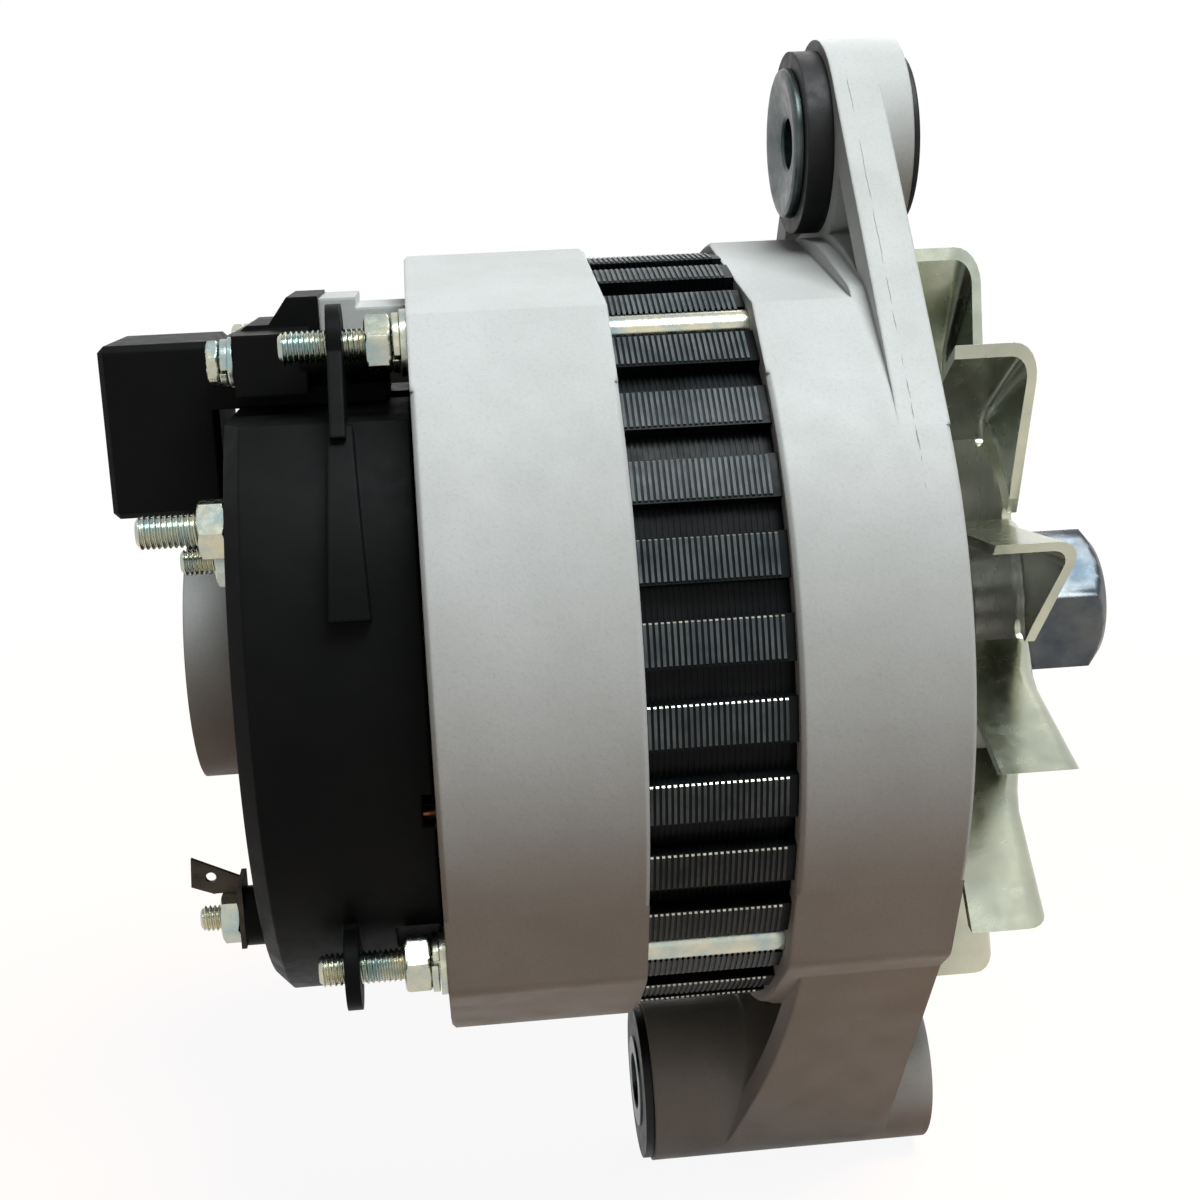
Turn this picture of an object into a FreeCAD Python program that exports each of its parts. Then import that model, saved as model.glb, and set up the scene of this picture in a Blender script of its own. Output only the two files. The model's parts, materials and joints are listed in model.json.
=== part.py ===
import FreeCAD, Part
import os
from math import acos, asin, cos, degrees, hypot, radians, sin, sqrt, tan

# Belt-driven alternator. Millimetres. X runs along the shaft toward the drive end, Z is up through
# the adjusting ear, Y goes away from the side that carries the terminals. Stations along the shaft are
# counted from the rear bracket's rear face, and the finished solids move to the pivot bore at the end.
# An angle on the housing is counted from -Y toward +Z.

V = FreeCAD.Vector
axisX = V(1, 0, 0)
shaftCentre = V(0, 0, 0)

# bracket rings
ringR = 65.0
ringWall = 5.5
registerWall = 3.6
registerLength = 3.5
rimChamfer = 0.6
rearRingLength = 29.7
openStack = 21.5
frontRingLength = 25.1
flatAngle = 78.5
flatHalfWidth = 60.0
rearFlatDepth = 1.9
frontFlatDepth = 2.4
bracketWall = 4.5
windowHalfAngle = 31.0
frontWindowHalfAngle = 27.0
topWindowHalfAngle = 15.0
windowMargin = 6.5
wallR = ringR - ringWall
registerR = ringR - registerWall
rearRingEnd = rearRingLength
frontRingStart = rearRingEnd + openStack
frontRingEnd = frontRingStart + frontRingLength

# stator
ridgeDrop = 1.8
ridgeDepth = 2.6
ridgeCount = 34
valleyStart = 58.9
valleyAngle = 4.5
slotCount = 36
coreDepth = 19.9
airGap = 0.4
toothLip = 0.9
slotShoulder = 0.8
slotDepth = 5.4
slotMouthAngle = 2.6
slotAngle = 5.2
barGap = 0.1
turnInset = 1.4
turnRise = 0.7
turnRound = 1.8
turnGap = 0.6
rearTurnReach = 12.2
frontTurnReach = 11.7
coreStart = rearRingEnd - registerLength
coreEnd = frontRingStart + registerLength
coreCentre = (coreStart + coreEnd) / 2
poleR = ringR - coreDepth
ridgeR = ringR - ridgeDrop
valleyR = ridgeR - ridgeDepth
ridgePitch = 360.0 / ridgeCount
slotPitch = 360.0 / slotCount
coreBoreR = poleR + airGap
slotLipR = coreBoreR + toothLip
slotShoulderR = slotLipR + slotShoulder
slotBottomR = slotShoulderR + slotDepth
endTurnInnerR = coreBoreR + turnInset
endTurnOuterR = slotBottomR + turnRise
rearTurnStart = coreStart - rearTurnReach
frontTurnEnd = coreEnd + frontTurnReach

# through bolts, two pairs opposite each other
boltInset = 4.0
boltAxisAngle = 11.1
boltHalfSpread = 49.5
boltR = 2.5
boltClearance = 0.2
boltGroove = 0.4
boltBossR = 5.4
boltStandOut = 19.0
boltTapLength = 12.0
boltSink = 0.8
boltPadR = 5.8
boltNutTurn = 12.0
nutFlats = 8.0
nutHeight = 4.0
flatWasherR = 5.0
flatWasherThick = 1.0
springWasherR = 4.5
springWasherThick = 1.3
boltCircleR = ringR - boltInset
boltHoleR = boltR + boltClearance
boltTip = -boltStandOut
pairAngles = (boltAxisAngle + boltHalfSpread, boltAxisAngle - boltHalfSpread)
boltAngles = [pairAngles[0], pairAngles[1], pairAngles[0] - 180, pairAngles[1] - 180]
windowOuterR = boltCircleR - boltBossR - 1.6

# rear tower and rear bearing
rearBearingR = 17.5
rearBearingWidth = 11.0
rearShaftR = 7.5
rearBallR = 3.0
towerWall = 3.0
towerReach = 38.5
towerCap = 1.7
towerLipR = 13.5
towerLip = 0.8
towerR = rearBearingR + towerWall
towerEnd = -towerReach
towerLipStart = towerEnd + towerCap
rearBearingStart = towerLipStart + towerLip
rearBearingEnd = rearBearingStart + rearBearingWidth
windowInnerR = towerR + windowMargin

# front hub and front bearing
frontBearingR = 20.0
frontBearingWidth = 12.0
frontShaftR = 8.5
frontBallR = 3.4
bearingInset = 10.3
hubWall = 5.0
hubLip = 2.0
hubLipInset = 4.0
retainerThick = 1.5
retainerScrewR = 1.0
retainerHeadR = 1.7
retainerHeadHeight = 0.9
retainerScrewLength = 7.5
landInset = 2.4
cageHalf = 1.3
cageRim = 0.8
ballGap = 0.1
ballCount = 8
frontHubR = frontBearingR + hubWall
frontBearingStart = frontRingEnd - bearingInset
frontBearingEnd = frontBearingStart + frontBearingWidth
frontHubEnd = frontBearingEnd + hubLip
hubLipR = frontBearingR - hubLipInset

# ear with its bush, and the leg that carries it
earClear = 0.8
earRim = 1.7
earPlate = 7.5
earLength = 12.4
earBoreR = 12.5
earSleeveR = 7.0
earBoltR = 4.1
earDiscR = 12.0
earDisc = 1.6
earRubberR = 14.6
earRubberFlange = 4.2
earRubberFrontR = 13.6
earRubberFront = 1.7
earWall = 6.0
earPocketDepth = 3.6
sleeveStandOut = 0.4
earHeight = ringR + earRubberR + earClear
earR = earRubberR + earRim
earStart = frontRingEnd - earPlate
earEnd = earStart + earLength

# pivot foot with its bush
footClear = 6.75
footR = 14.25
footLength = 50.2
footFront = 8.4
footBoreR = 11.0
footSleeveR = 8.0
footBoltR = 5.1
footFlangeR = 13.7
footFlange = 1.6
footWall = 5.0
legSetback = 3.0
legSpread = 7.0
legSweepR = 150.0
legSweepDrop = 48.0
footDrop = ringR + footR + footClear
footEnd = frontRingEnd + footFront
footStart = footEnd - footLength

# rear cover
coverInset = 8.5
coverWall = 2.0
coverReach = 27.5
coverGap = 0.4
coverChamfer = 2.4
coverFlat = 13.9
towerGap = 0.7
flangePlaces = (11.7, 15.0, 15.0, 11.7)
flangeThick = 2.2
flangeR = 6.2
flangeHalf = 5.0
ribRise = 2.7
ribAngles = (17, 47)
ribTopWidth = 3.4
ribBottomWidth = 6.0
ribBottomStart = 1.2
leadNotchAngles = (-14.5, -9)
leadNotchDepth = 1.6
ventAngles = (-66, -84, -102, -120, -138, -156)
ventHalfAngle = 3.0
ventInset = 7.5
ventInnerGap = 9.5
coverR = ringR - coverInset
coverTop = coverR - coverFlat
ventOuterR = coverR - ventInset
ventInnerR = towerR + ventInnerGap
coverRear = -coverReach
coverFront = -coverGap
coverFloor = coverRear + coverWall
coverBoreR = towerR + towerGap

# slip rings, set next to the rear bearing
slipR = 14.0
slipInnerR = 11.0
slipWidth = 6.5
slipPitch = 8.5
slipFlange = 1.3
slipFlangeDrop = 0.8
slipSeatR = 8.0
sleeveStart = rearBearingEnd + 0.7
brushX = [sleeveStart + slipFlange + slipWidth / 2]
brushX.append(brushX[0] + slipPitch)
sleeveEnd = brushX[1] + slipWidth / 2 + slipFlange

# brushes and their holder
brushLength = 4.8
brushWidth = 6.8
brushSlack = 0.25
brushHeight = 16.0
brushGap = 0.15
holderWall = 1.2
holderRoof = 1.5
holderClear = 2.4
holderGap = 1.5
springR = 1.75
springWireR = 0.3
springTurns = 8
brushTop = slipR + brushHeight
guideHalfX = brushLength / 2 + brushSlack
guideHalfY = brushWidth / 2 + brushSlack
holderBottom = slipR + holderClear
holderStart = brushX[0] - guideHalfX - holderWall
holderEnd = brushX[1] + guideHalfX + holderWall
holderHalf = guideHalfY + holderWall

# regulator housing with its neck, foot and screw tabs
regulatorGap = 3.0
regulatorDepth = 18.0
regulatorHalf = 13.0
regulatorDrop = 16.4
regulatorRise = 11.0
regulatorChamfer = 1.0
neckInset = 1.0
neckRise = 12.3
neckEnd = -13.8
humpRise = 4.9
humpLength = 4.9
humpSlope = 3.0
neckStep = 0.8
neckStepLength = 3.5
seatGap = 0.4
seatHeight = 4.4
seatHalf = 14.0
seatEnd = -3.6
pillarGap = 10.45
pillarRise = 8.1
pillarR = 4.4
pillarReach = 3.0
tabBossR = 4.2
tabLength = 11.0
tabStart = -26.5
tabThick = 9.4
tabEdge = 3.9
screwR = 2.0
screwHeadR = 3.3
screwHead = 1.9
screwDepth = 3.0
regulatorFront = coverRear - regulatorGap
regulatorRear = regulatorFront - regulatorDepth
neckBottom = coverTop + seatGap
regulatorBottom = coverTop - regulatorDrop
regulatorTop = coverTop + regulatorRise
neckTop = coverTop + neckRise
humpTop = neckTop + humpRise
pillarZ = coverTop + pillarRise
pillarY = boltCircleR * cos(radians(pairAngles[0])) - pillarGap
tabHalf = pillarY + tabEdge
tabTop = neckTop
tabBottom = tabTop - tabThick
tabEnd = tabStart + tabLength

# lug on the rear bracket under the hump's end
lugY = (-10.0, 13.0)
lugDepth = 7.6
lugRise = 15.0
lugStep = 1.7
lugStepEnd = -8.0
lugTop = coverTop + lugRise
lugBottom = lugTop - lugDepth

# rotor
poleCount = 6
poleDiscInset = 8.6
poleDiscThick = 11.0
poleSpan = 44.8
poleHubShare = 0.3814
poleTipGap = 1.6
poleTipThick = 4.2
poleRootDepth = 10.5
poleRootHalf = 11.0
poleTipHalf = 4.4
poleChamfer = 1.5
coilShare = 0.7406
coilInnerGap = 1.8
bobbinFlange = 1.5
bobbinRise = 0.5
poleBoreR = 9.5
poleDiscR = poleR - poleDiscInset
poleRootDepthR = poleR - poleRootDepth
poleHubR = poleR * poleHubShare
coilR = poleR * coilShare
coilInnerR = poleHubR + coilInnerGap
rearPoleStart = coreCentre - poleSpan / 2
frontPoleEnd = coreCentre + poleSpan / 2
poleTipX = frontPoleEnd - poleTipGap

# fan
fanInset = 1.5
fanThick = 1.5
bladeDepth = 12.9
bladeCount = 12
bladeAngle = 21.1
bladeRootR = 35.0
bladeRootLead = 15.5
petalInnerR = 43.0
petalLag = 15.5
notchR = 1.6
collarR = 13.0
collarLength = 14.5
fanR = ringR - fanInset
fanRear = frontBearingEnd + collarLength
fanFront = fanRear + fanThick
bladeRear = fanFront - bladeDepth
bladePitch = 360.0 / bladeCount

# shaft end
distanceRingDrop = 0.25
thickWasherR = 16.5
thickWasher = 4.2
lockWasherR = 12.5
lockWasher = 3.2
shaftNutFlats = 24.0
shaftNutHeight = 15.0
threadR = 7.0
shaftTip = 1.5
keyLength = 10.0
keyInset = 2.5
keyHalf = 2.0
keyTop = 10.4
keyBottom = 6.0
shaftNutTurn = 15.0
distanceRingR = (frontBearingR + frontShaftR) / 2 - landInset - distanceRingDrop
thickWasherEnd = fanFront + thickWasher
lockWasherEnd = thickWasherEnd + lockWasher
shaftNutEnd = lockWasherEnd + shaftNutHeight
shaftEnd = shaftNutEnd + shaftTip
keyStart = frontBearingEnd + keyInset
keyEnd = keyStart + keyLength

# rectifier
plateThick = 2.5
negativeGap = 4.5
plateGap = 4.5
positiveInset = 1.0
negativeInset = 2.1
plateInset = 3.0
rectifierInset = 18.5
diodeR = 6.0
diodeHeight = 4.6
negativeDiodeHeight = 4.1
diodePinR = 0.8
diodePin = 3.9
negativeDiodeInset = 16.5
leadAngles = [-15.0, -75.0, -165.0]
positiveDiodeAngles = [-58.0, -98.0, -143.0]
insulatorFlange = 0.9
insulatorR = 4.4
insulatorNeckR = 3.0
seatR = 4.2
rectifierHeadR = 3.5
rectifierHead = 2.4
leadR = 0.8
leadSlotR = 2.5
leadSlotInset = 6.3
plateLead = 9.0
positivePlateAngle = 42.0
negativePlateAngle = 24.0
rectifierR = coverR - rectifierInset
negativeDiodeR = coverR - negativeDiodeInset
leadSlotAt = coverR - leadSlotInset
negativeEnd = -negativeGap
negativeStart = negativeEnd - plateThick
positiveEnd = negativeStart - plateGap
positiveStart = positiveEnd - plateThick
positiveR = coverR - coverWall - positiveInset
negativeR = coverR - coverWall - negativeInset
plateInnerR = towerR + plateInset
rectifierAngles = boltAngles[1:]

# terminals
outputInset = 7.4
outputAngle = 35.5
outputR = 2.5
outputReach = 13.0
outputHead = 3.2
spacerR = 4.4
exciterInset = 16.5
exciterAngle = 34.3
exciterR = 2.0
exciterReach = 8.1
phaseInset = 7.7
phaseAngle = -42.5
phaseR = 2.0
phaseReach = 7.0
phaseBossR = 4.6
phaseBoss = 2.8
smallNutFlats = 7.0
smallNutHeight = 2.9
smallHead = 2.6
exciterNutTurn = 17.0
phaseNutTurn = 10.0
bladeThick = 0.8
threadDepth = 0.2
threadRunOut = 0.5
phaseBossEnd = coverRear - phaseBoss

nodes = {}


def at(radius, angle):
    return -radius * cos(radians(angle)), radius * sin(radians(angle))


outputAt = at(coverR - outputInset, outputAngle)
exciterAt = at(coverR - exciterInset, exciterAngle)
phaseAt = at(coverR - phaseInset, phaseAngle)


def cyl(radius, x0, x1, centre=(0.0, 0.0)):
    return Part.makeCylinder(radius, x1 - x0, V(x0, centre[0], centre[1]), axisX)


def tube(outer, inner, x0, x1, centre=(0.0, 0.0)):
    return cyl(outer, x0, x1, centre).cut(cyl(inner, x0 - 1.0, x1 + 1.0, centre))


def block(x0, x1, y0, y1, z0, z1):
    return Part.makeBox(x1 - x0, y1 - y0, z1 - z0, V(x0, y0, z0))


def turned(shape, angle):
    copy = shape.copy()
    copy.rotate(shaftCentre, axisX, -angle)
    return copy


def revolve(points, centre=(0.0, 0.0)):
    path = [V(x, centre[0], centre[1] + r) for x, r in points]
    face = Part.Face(Part.makePolygon(path + [path[0]]))
    return face.revolve(V(0, centre[0], centre[1]), axisX, 360)


def prism(points, x0, x1):
    path = [V(x0, y, z) for y, z in points]
    face = Part.Face(Part.makePolygon(path + [path[0]]))
    return face.extrude(V(x1 - x0, 0, 0))


def slab(points, y0, y1):
    # prism across the shaft, points are (x, z)
    path = [V(x, y0, z) for x, z in points]
    face = Part.Face(Part.makePolygon(path + [path[0]]))
    return face.extrude(V(0, y1 - y0, 0))


def arc(radius, a0, a1, x):
    ends = [at(radius, a) for a in (a0, (a0 + a1) / 2, a1)]
    return Part.Arc(*[V(x, y, z) for y, z in ends]).toShape()


def outline(steps, x0, x1):
    # steps are (radius, start angle, end angle); equal angles make a corner
    edges = []
    for i, (radius, a0, a1) in enumerate(steps):
        if a0 != a1:
            edges.append(arc(radius, a0, a1, x0))
        following = steps[(i + 1) % len(steps)]
        tip, foot = at(radius, a1), at(following[0], following[1])
        if hypot(tip[0] - foot[0], tip[1] - foot[1]) > 1e-6:
            edges.append(Part.LineSegment(V(x0, *tip), V(x0, *foot)).toShape())
    face = Part.Face(Part.Wire(edges))
    return face.extrude(V(x1 - x0, 0, 0))


def sector(outer, inner, x0, x1, a0, a1):
    return outline([(outer, a0, a1), (inner, a1, a0)], x0, x1)


def hexagon(flats, x0, x1, centre, turn=0.0):
    corner = flats / sqrt(3)
    points = []
    for i in range(6):
        a = radians(60 * i + turn)
        points.append((centre[0] + corner * cos(a), centre[1] + corner * sin(a)))
    return prism(points, x0, x1)


def nut(flats, x0, x1, centre, bore, turn=0.0):
    # hexagon with both ends chamfered like a turned blank
    corner = flats / sqrt(3)
    drop = (corner - flats / 2) * 0.6
    faceR = flats / 2 * 0.97
    profile = [(x0, 0), (x0, faceR), (x0 + drop, corner), (x1 - drop, corner), (x1, faceR), (x1, 0)]
    body = hexagon(flats, x0, x1, centre, turn).common(revolve(profile, centre))
    return body.cut(cyl(bore, x0 - 1, x1 + 1, centre)) if bore else body


def stud(radius, tip, end, centre, chamfer=0.5):
    profile = [(tip, 0), (tip, radius - chamfer), (tip + chamfer, radius), (end, radius), (end, 0)]
    return revolve(profile, centre)


def terminal(radius, tip, nutOuter, end, centre, chamfer=0.5):
    # free thread, then the core of the thread from just outside the nut inward
    runOut = nutOuter - threadRunOut
    core = radius - threadDepth
    return revolve([
        (tip, 0), (tip, radius - chamfer), (tip + chamfer, radius), (runOut, radius),
        (runOut, core), (end, core), (end, 0),
    ], centre)


def fused(shapes):
    body = shapes[0].multiFuse(shapes[1:]) if len(shapes) > 1 else shapes[0]
    return body.removeSplitter()


def flatCut(distance, x0, x1):
    # slab outside the shallow machined flat that both brackets share
    return turned(block(x0, x1, -distance - ringWall, -distance, -flatHalfWidth, flatHalfWidth), flatAngle)


def hull(radius, centreZ, tipR, x0, x1, inset=0.0):
    # plate between the ring and a boss straight above or below it, with tangent sides
    side = 1 if centreZ > 0 else -1
    lean = acos((radius - tipR) / abs(centreZ))
    n = (sin(lean), cos(lean))
    a = ((radius - inset) * n[0], (radius - inset) * n[1])
    b = ((tipR - inset) * n[0], abs(centreZ) + (tipR - inset) * n[1])
    points = [a, b, (-b[0], b[1]), (-a[0], a[1])]
    return prism([(y, side * z) for y, z in points], x0, x1)


def boltPads(x0, x1):
    # low pads with tangent flanks on the ring's outside, one over each through bolt
    pad = fused([hull(ringR, boltCircleR, boltPadR, x0, x1), cyl(boltPadR, x0, x1, (0, boltCircleR))])
    pad = pad.common(tube(ringR + boltPadR, ringR - 1, x0, x1))
    return [turned(pad, a - 90) for a in boltAngles]


# rear bracket: ring, rear wall with windows, bearing tower, regulator pillars, lug
ring = revolve([
    (0, wallR), (0, ringR - rimChamfer), (rimChamfer, ringR), (rearRingEnd - rimChamfer, ringR),
    (rearRingEnd, ringR - rimChamfer), (rearRingEnd, registerR), (coreStart, registerR), (coreStart, wallR),
])
wall = tube(wallR + 0.5, rearBearingR, 0, bracketWall)
tower = tube(towerR, rearBearingR, towerEnd, bracketWall)
towerLipRing = tube(rearBearingR + 0.5, towerLipR, towerLipStart, rearBearingStart)
towerEndCap = cyl(rearBearingR + 0.5, towerEnd, towerLipStart)
rimInside = cyl(ringR - rimChamfer, 0, coreStart)
bosses = [cyl(boltBossR, 0, coreStart, at(boltCircleR, a)).common(rimInside) for a in boltAngles]
seats = [cyl(seatR, negativeEnd, 0.5, at(rectifierR, a)) for a in rectifierAngles]
pillars = [cyl(pillarR, -pillarReach, 0.5, (side * pillarY, pillarZ)) for side in (-1, 1)]
lug = [block(neckEnd, 0.5, lugY[0], lugY[1], lugBottom, lugTop)]
lug.append(block(neckEnd, lugStepEnd, lugY[0], lugY[1], lugBottom, lugTop + lugStep))
pads = boltPads(0, rearRingEnd)
rear = fused([ring, wall, tower, towerLipRing, towerEndCap] + bosses + pads + seats + pillars + lug)
openWindow = sector(windowOuterR, windowInnerR, -1, bracketWall + 1, -windowHalfAngle, windowHalfAngle)
cuts = [turned(openWindow, boltAxisAngle - 90 * i) for i in range(3)]
topWindow = (90 - topWindowHalfAngle, 90 + topWindowHalfAngle)
cuts.append(sector(windowOuterR - 5, windowInnerR, -1, bracketWall + 1, *topWindow))
cuts += [cyl(boltHoleR, -1, rearRingEnd + 1, at(boltCircleR, a)) for a in boltAngles]
cuts += [cyl(screwR, negativeEnd - 1, bracketWall - 0.5, at(rectifierR, a)) for a in rectifierAngles]
cuts += [cyl(screwR, -pillarReach - 1, bracketWall - 0.5, (side * pillarY, pillarZ)) for side in (-1, 1)]
windowHalf = holderHalf + holderGap
cuts.append(block(holderStart - 1, holderEnd + holderGap, -windowHalf, windowHalf, slipSeatR, towerR + 1))
cuts.append(flatCut(ringR - rearFlatDepth, -1, rearRingEnd + 1))
nodes["rear_bracket"] = rear.cut(cuts)

# front bracket: ring, front wall with windows, bearing hub, ear and foot
ring = revolve([
    (frontRingStart, registerR), (frontRingStart, ringR - rimChamfer), (frontRingStart + rimChamfer, ringR),
    (frontRingEnd - rimChamfer, ringR), (frontRingEnd, ringR - rimChamfer), (frontRingEnd, wallR),
    (coreEnd, wallR), (coreEnd, registerR),
])
wall = tube(wallR + 0.5, frontBearingR, frontRingEnd - bracketWall, frontRingEnd)
hub = tube(frontHubR, frontBearingR, frontBearingStart, frontHubEnd)
hubLipRing = tube(frontBearingR + 0.5, hubLipR, frontBearingEnd, frontHubEnd)
rimInside = cyl(ringR - rimChamfer, coreEnd, frontRingEnd)
bosses = [cyl(boltBossR, coreEnd, frontRingEnd, at(boltCircleR, a)).common(rimInside) for a in boltAngles]
legStart = frontRingStart - legSpread
outside = tube(200, ringR - 0.3, legStart - 1, footEnd + 1)
earHull = hull(ringR, earHeight, earR, earStart, frontRingEnd).common(outside)
pocket = hull(ringR, earHeight, earR, earStart - 1, earStart + earPocketDepth, earWall)
earPocket = pocket.cut([cyl(ringR + 1.5, 0, footEnd), cyl(earR + 1.0, 0, footEnd, (0, earHeight))])
earBoss = cyl(earR, earStart, earEnd, (0, earHeight))
# the leg's rear edge sweeps back along the foot
sweepAt = V(frontRingStart + legSetback - legSweepR, -ringR, -legSweepDrop)
sweep = Part.makeCylinder(legSweepR, 2 * ringR, sweepAt, V(0, 1, 0))
footHull = hull(ringR, -footDrop, footR, legStart, frontRingEnd).common(outside).cut(sweep)
pocket = hull(ringR, -footDrop, footR, legStart - 1, frontRingEnd - footWall, footWall)
footPocket = pocket.cut([cyl(ringR + 0.5, 0, footEnd), cyl(footR + 0.5, 0, footEnd, (0, -footDrop))])
footBoss = cyl(footR, footStart, footEnd, (0, -footDrop))
pads = boltPads(frontRingStart, frontRingEnd)
front = fused([ring, wall, hub, hubLipRing] + bosses + pads + [earHull, earBoss, footHull, footBoss])
cuts = [earPocket, footPocket]
tapStart = frontRingEnd - boltTapLength
cuts += [cyl(boltHoleR, frontRingStart - 1, tapStart, at(boltCircleR, a)) for a in boltAngles]
cuts += [cyl(boltR, tapStart - 1, frontRingEnd + 1, at(boltCircleR, a)) for a in boltAngles]
openWindow = sector(windowOuterR, frontHubR + 4, frontRingEnd - bracketWall - 1, frontRingEnd + 1,
                    -frontWindowHalfAngle, frontWindowHalfAngle)
cuts += [turned(openWindow, boltAxisAngle - 90 * i) for i in range(4)]
cuts.append(cyl(earBoreR, earStart - 1, earEnd + 1, (0, earHeight)))
cuts.append(cyl(footBoreR, footStart - 1, footEnd + 1, (0, -footDrop)))
cuts.append(flatCut(ringR - frontFlatDepth, frontRingStart - 1, earStart - 2.5))
nodes["front_bracket"] = front.cut(cuts)

# stator stack: ridged outside, turned registers at both ends, slotted inside
outer = []
for i in range(ridgeCount):
    a = valleyStart + ridgePitch * i
    half = valleyAngle / 2
    outer.append((valleyR, a - half, a + half))
    outer.append((ridgeR, a + half, a + ridgePitch - half))
stack = outline(outer, coreStart, coreEnd)
inner = []
for i in range(slotCount):
    a = slotPitch * i
    mouth, side = slotMouthAngle / 2, slotAngle / 2
    inner += [(slotLipR, a - mouth, a - mouth), (slotShoulderR, a - side, a - side)]
    inner += [(slotBottomR, a - side, a + side), (slotShoulderR, a + side, a + side)]
    inner += [(slotLipR, a + mouth, a + mouth), (coreBoreR, a + mouth, a + slotPitch - mouth)]
stack = stack.cut(outline(inner, coreStart - 1, coreEnd + 1))
cuts = [tube(ringR, registerR, coreStart - 1, rearRingEnd)]
cuts.append(tube(ringR, registerR, frontRingStart, coreEnd + 1))
cuts += [cyl(boltR + boltGroove, coreStart - 1, coreEnd + 1, at(boltCircleR, a)) for a in boltAngles]
nodes["stator_core"] = stack.cut(cuts)

# stator winding: one bar per slot joined by the end turns
barEnds = (rearTurnStart + 2 * turnRound, frontTurnEnd - 2 * turnRound)
bar = sector(slotBottomR - barGap, slotShoulderR + 2 * barGap, *barEnds, -slotAngle / 2, slotAngle / 2)
bars = [turned(bar, slotPitch * i) for i in range(slotCount)]
turns = []
for x0, x1 in ((rearTurnStart, coreStart - turnGap), (coreEnd + turnGap, frontTurnEnd)):
    low, high = endTurnInnerR + turnRound, endTurnOuterR - turnRound
    turns.append(revolve([
        (x0, low), (x0, high), (x0 + turnRound, endTurnOuterR), (x1 - turnRound, endTurnOuterR),
        (x1, high), (x1, low), (x1 - turnRound, endTurnInnerR), (x0 + turnRound, endTurnInnerR),
    ]))
nodes["stator_windings"] = fused(turns + bars)

# through bolts, screwed into the front bracket, with nuts and washers at the rear
nutFace = -flatWasherThick - springWasherThick
bolts, nuts, springs, flats = [], [], [], []
for a in boltAngles:
    centre = at(boltCircleR, a)
    bolts.append(stud(boltR, boltTip, frontRingEnd - boltSink, centre))
    flats.append(tube(flatWasherR, boltR, -flatWasherThick, 0, centre))
    springs.append(tube(springWasherR, boltR, nutFace, -flatWasherThick, centre))
    nuts.append(nut(nutFlats, nutFace - nutHeight, nutFace, centre, boltR, boltNutTurn))
nodes["through_bolts"] = Part.makeCompound(bolts)
nodes["through_bolt_nuts"] = Part.makeCompound(nuts)
nodes["spring_washers"] = Part.makeCompound(springs)
nodes["flat_washers"] = Part.makeCompound(flats)

# rear cover: open cup with a flat top, a bore for the bearing tower and eyelets round the bolt ends
cup = revolve([
    (coverFront, 0), (coverFront, coverR), (coverRear + coverChamfer, coverR),
    (coverRear, coverR - coverChamfer), (coverRear, 0),
])
cup = cup.cut(block(coverRear - 1, coverFront + 1, -coverR, coverR, coverTop, coverR + 1))
inside = cyl(coverR - coverWall, coverFloor, coverFront + 1)
inside = inside.cut(block(coverRear, coverFront + 2, -coverR, coverR, coverTop - coverWall, coverR + 1))
flatEdge = degrees(asin(coverTop / coverR)) - 5
pieces = [cup]
flanges = [(a, -place, flangeThick - place) for a, place in zip(boltAngles, flangePlaces)]
for a, flangeStart, flangeEnd in flanges:
    tip = at(boltCircleR, a)
    pieces.append(cyl(flangeR, flangeStart, flangeEnd, tip))
    lean = (a + 360) % 360
    if flatEdge < lean < 180 - flatEdge:
        lean = flatEdge if lean < 90 else 180 - flatEdge
    root = at(coverR - coverWall / 2, lean)
    along = (tip[0] - root[0], tip[1] - root[1])
    scale = flangeHalf / hypot(*along)
    across = (-along[1] * scale, along[0] * scale)
    corners = [(root[0] + across[0], root[1] + across[1]), (tip[0] + across[0], tip[1] + across[1])]
    corners += [(tip[0] - across[0], tip[1] - across[1]), (root[0] - across[0], root[1] - across[1])]
    pieces.append(prism(corners, flangeStart, flangeEnd))
# the rib under the upper near flange widens downward
ribStart = -flangePlaces[0] - 0.3
ribLow = coverR * sin(radians(ribAngles[0])) - 1
ribHigh = coverTop
ribWide = ribStart - ribBottomStart
rib = sector(coverR + ribRise, coverR - coverWall / 2, ribWide, ribWide + ribBottomWidth, *ribAngles)
ribSide = [(ribWide, ribLow), (ribWide + ribBottomWidth, ribLow)]
ribSide += [(ribStart + ribTopWidth, ribHigh), (ribStart, ribHigh), (ribWide, ribLow)]
ribFace = Part.Face(Part.makePolygon([V(x, -ringR, z) for x, z in ribSide]))
pieces.append(rib.common(ribFace.extrude(V(0, ringR, 0))))
pieces.append(cyl(phaseBossR, phaseBossEnd, coverFloor, phaseAt))
cover = fused(pieces)
cuts = [inside]
cuts += [cyl(boltHoleR, start - 1, end + 1, at(boltCircleR, a)) for a, start, end in flanges]
cuts += [cyl(flatWasherR + 0.6, nutFace - nutHeight - 1, 0, at(boltCircleR, a)) for a in boltAngles]
cuts.append(cyl(coverBoreR, coverRear - 1, coverFloor + 1))
holes = ((outputR, outputAt), (exciterR, exciterAt), (phaseR, phaseAt))
cuts += [cyl(radius, phaseBossEnd - 1, coverFloor + 1, centre) for radius, centre in holes]
slotHalf = holderHalf + 0.5
cuts.append(block(holderStart - 0.5, coverFront + 1, -slotHalf, slotHalf, brushTop, coverTop + 1))
cuts.append(sector(coverR + 1, coverR - coverWall - 1, coverFront - leadNotchDepth, 0, *leadNotchAngles))
for a in ventAngles:
    vent = (a - ventHalfAngle, a + ventHalfAngle)
    cuts.append(sector(ventOuterR, ventInnerR, coverRear - 1, coverFloor + 1, *vent))
nodes["rear_cover"] = cover.cut(cuts)

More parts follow.
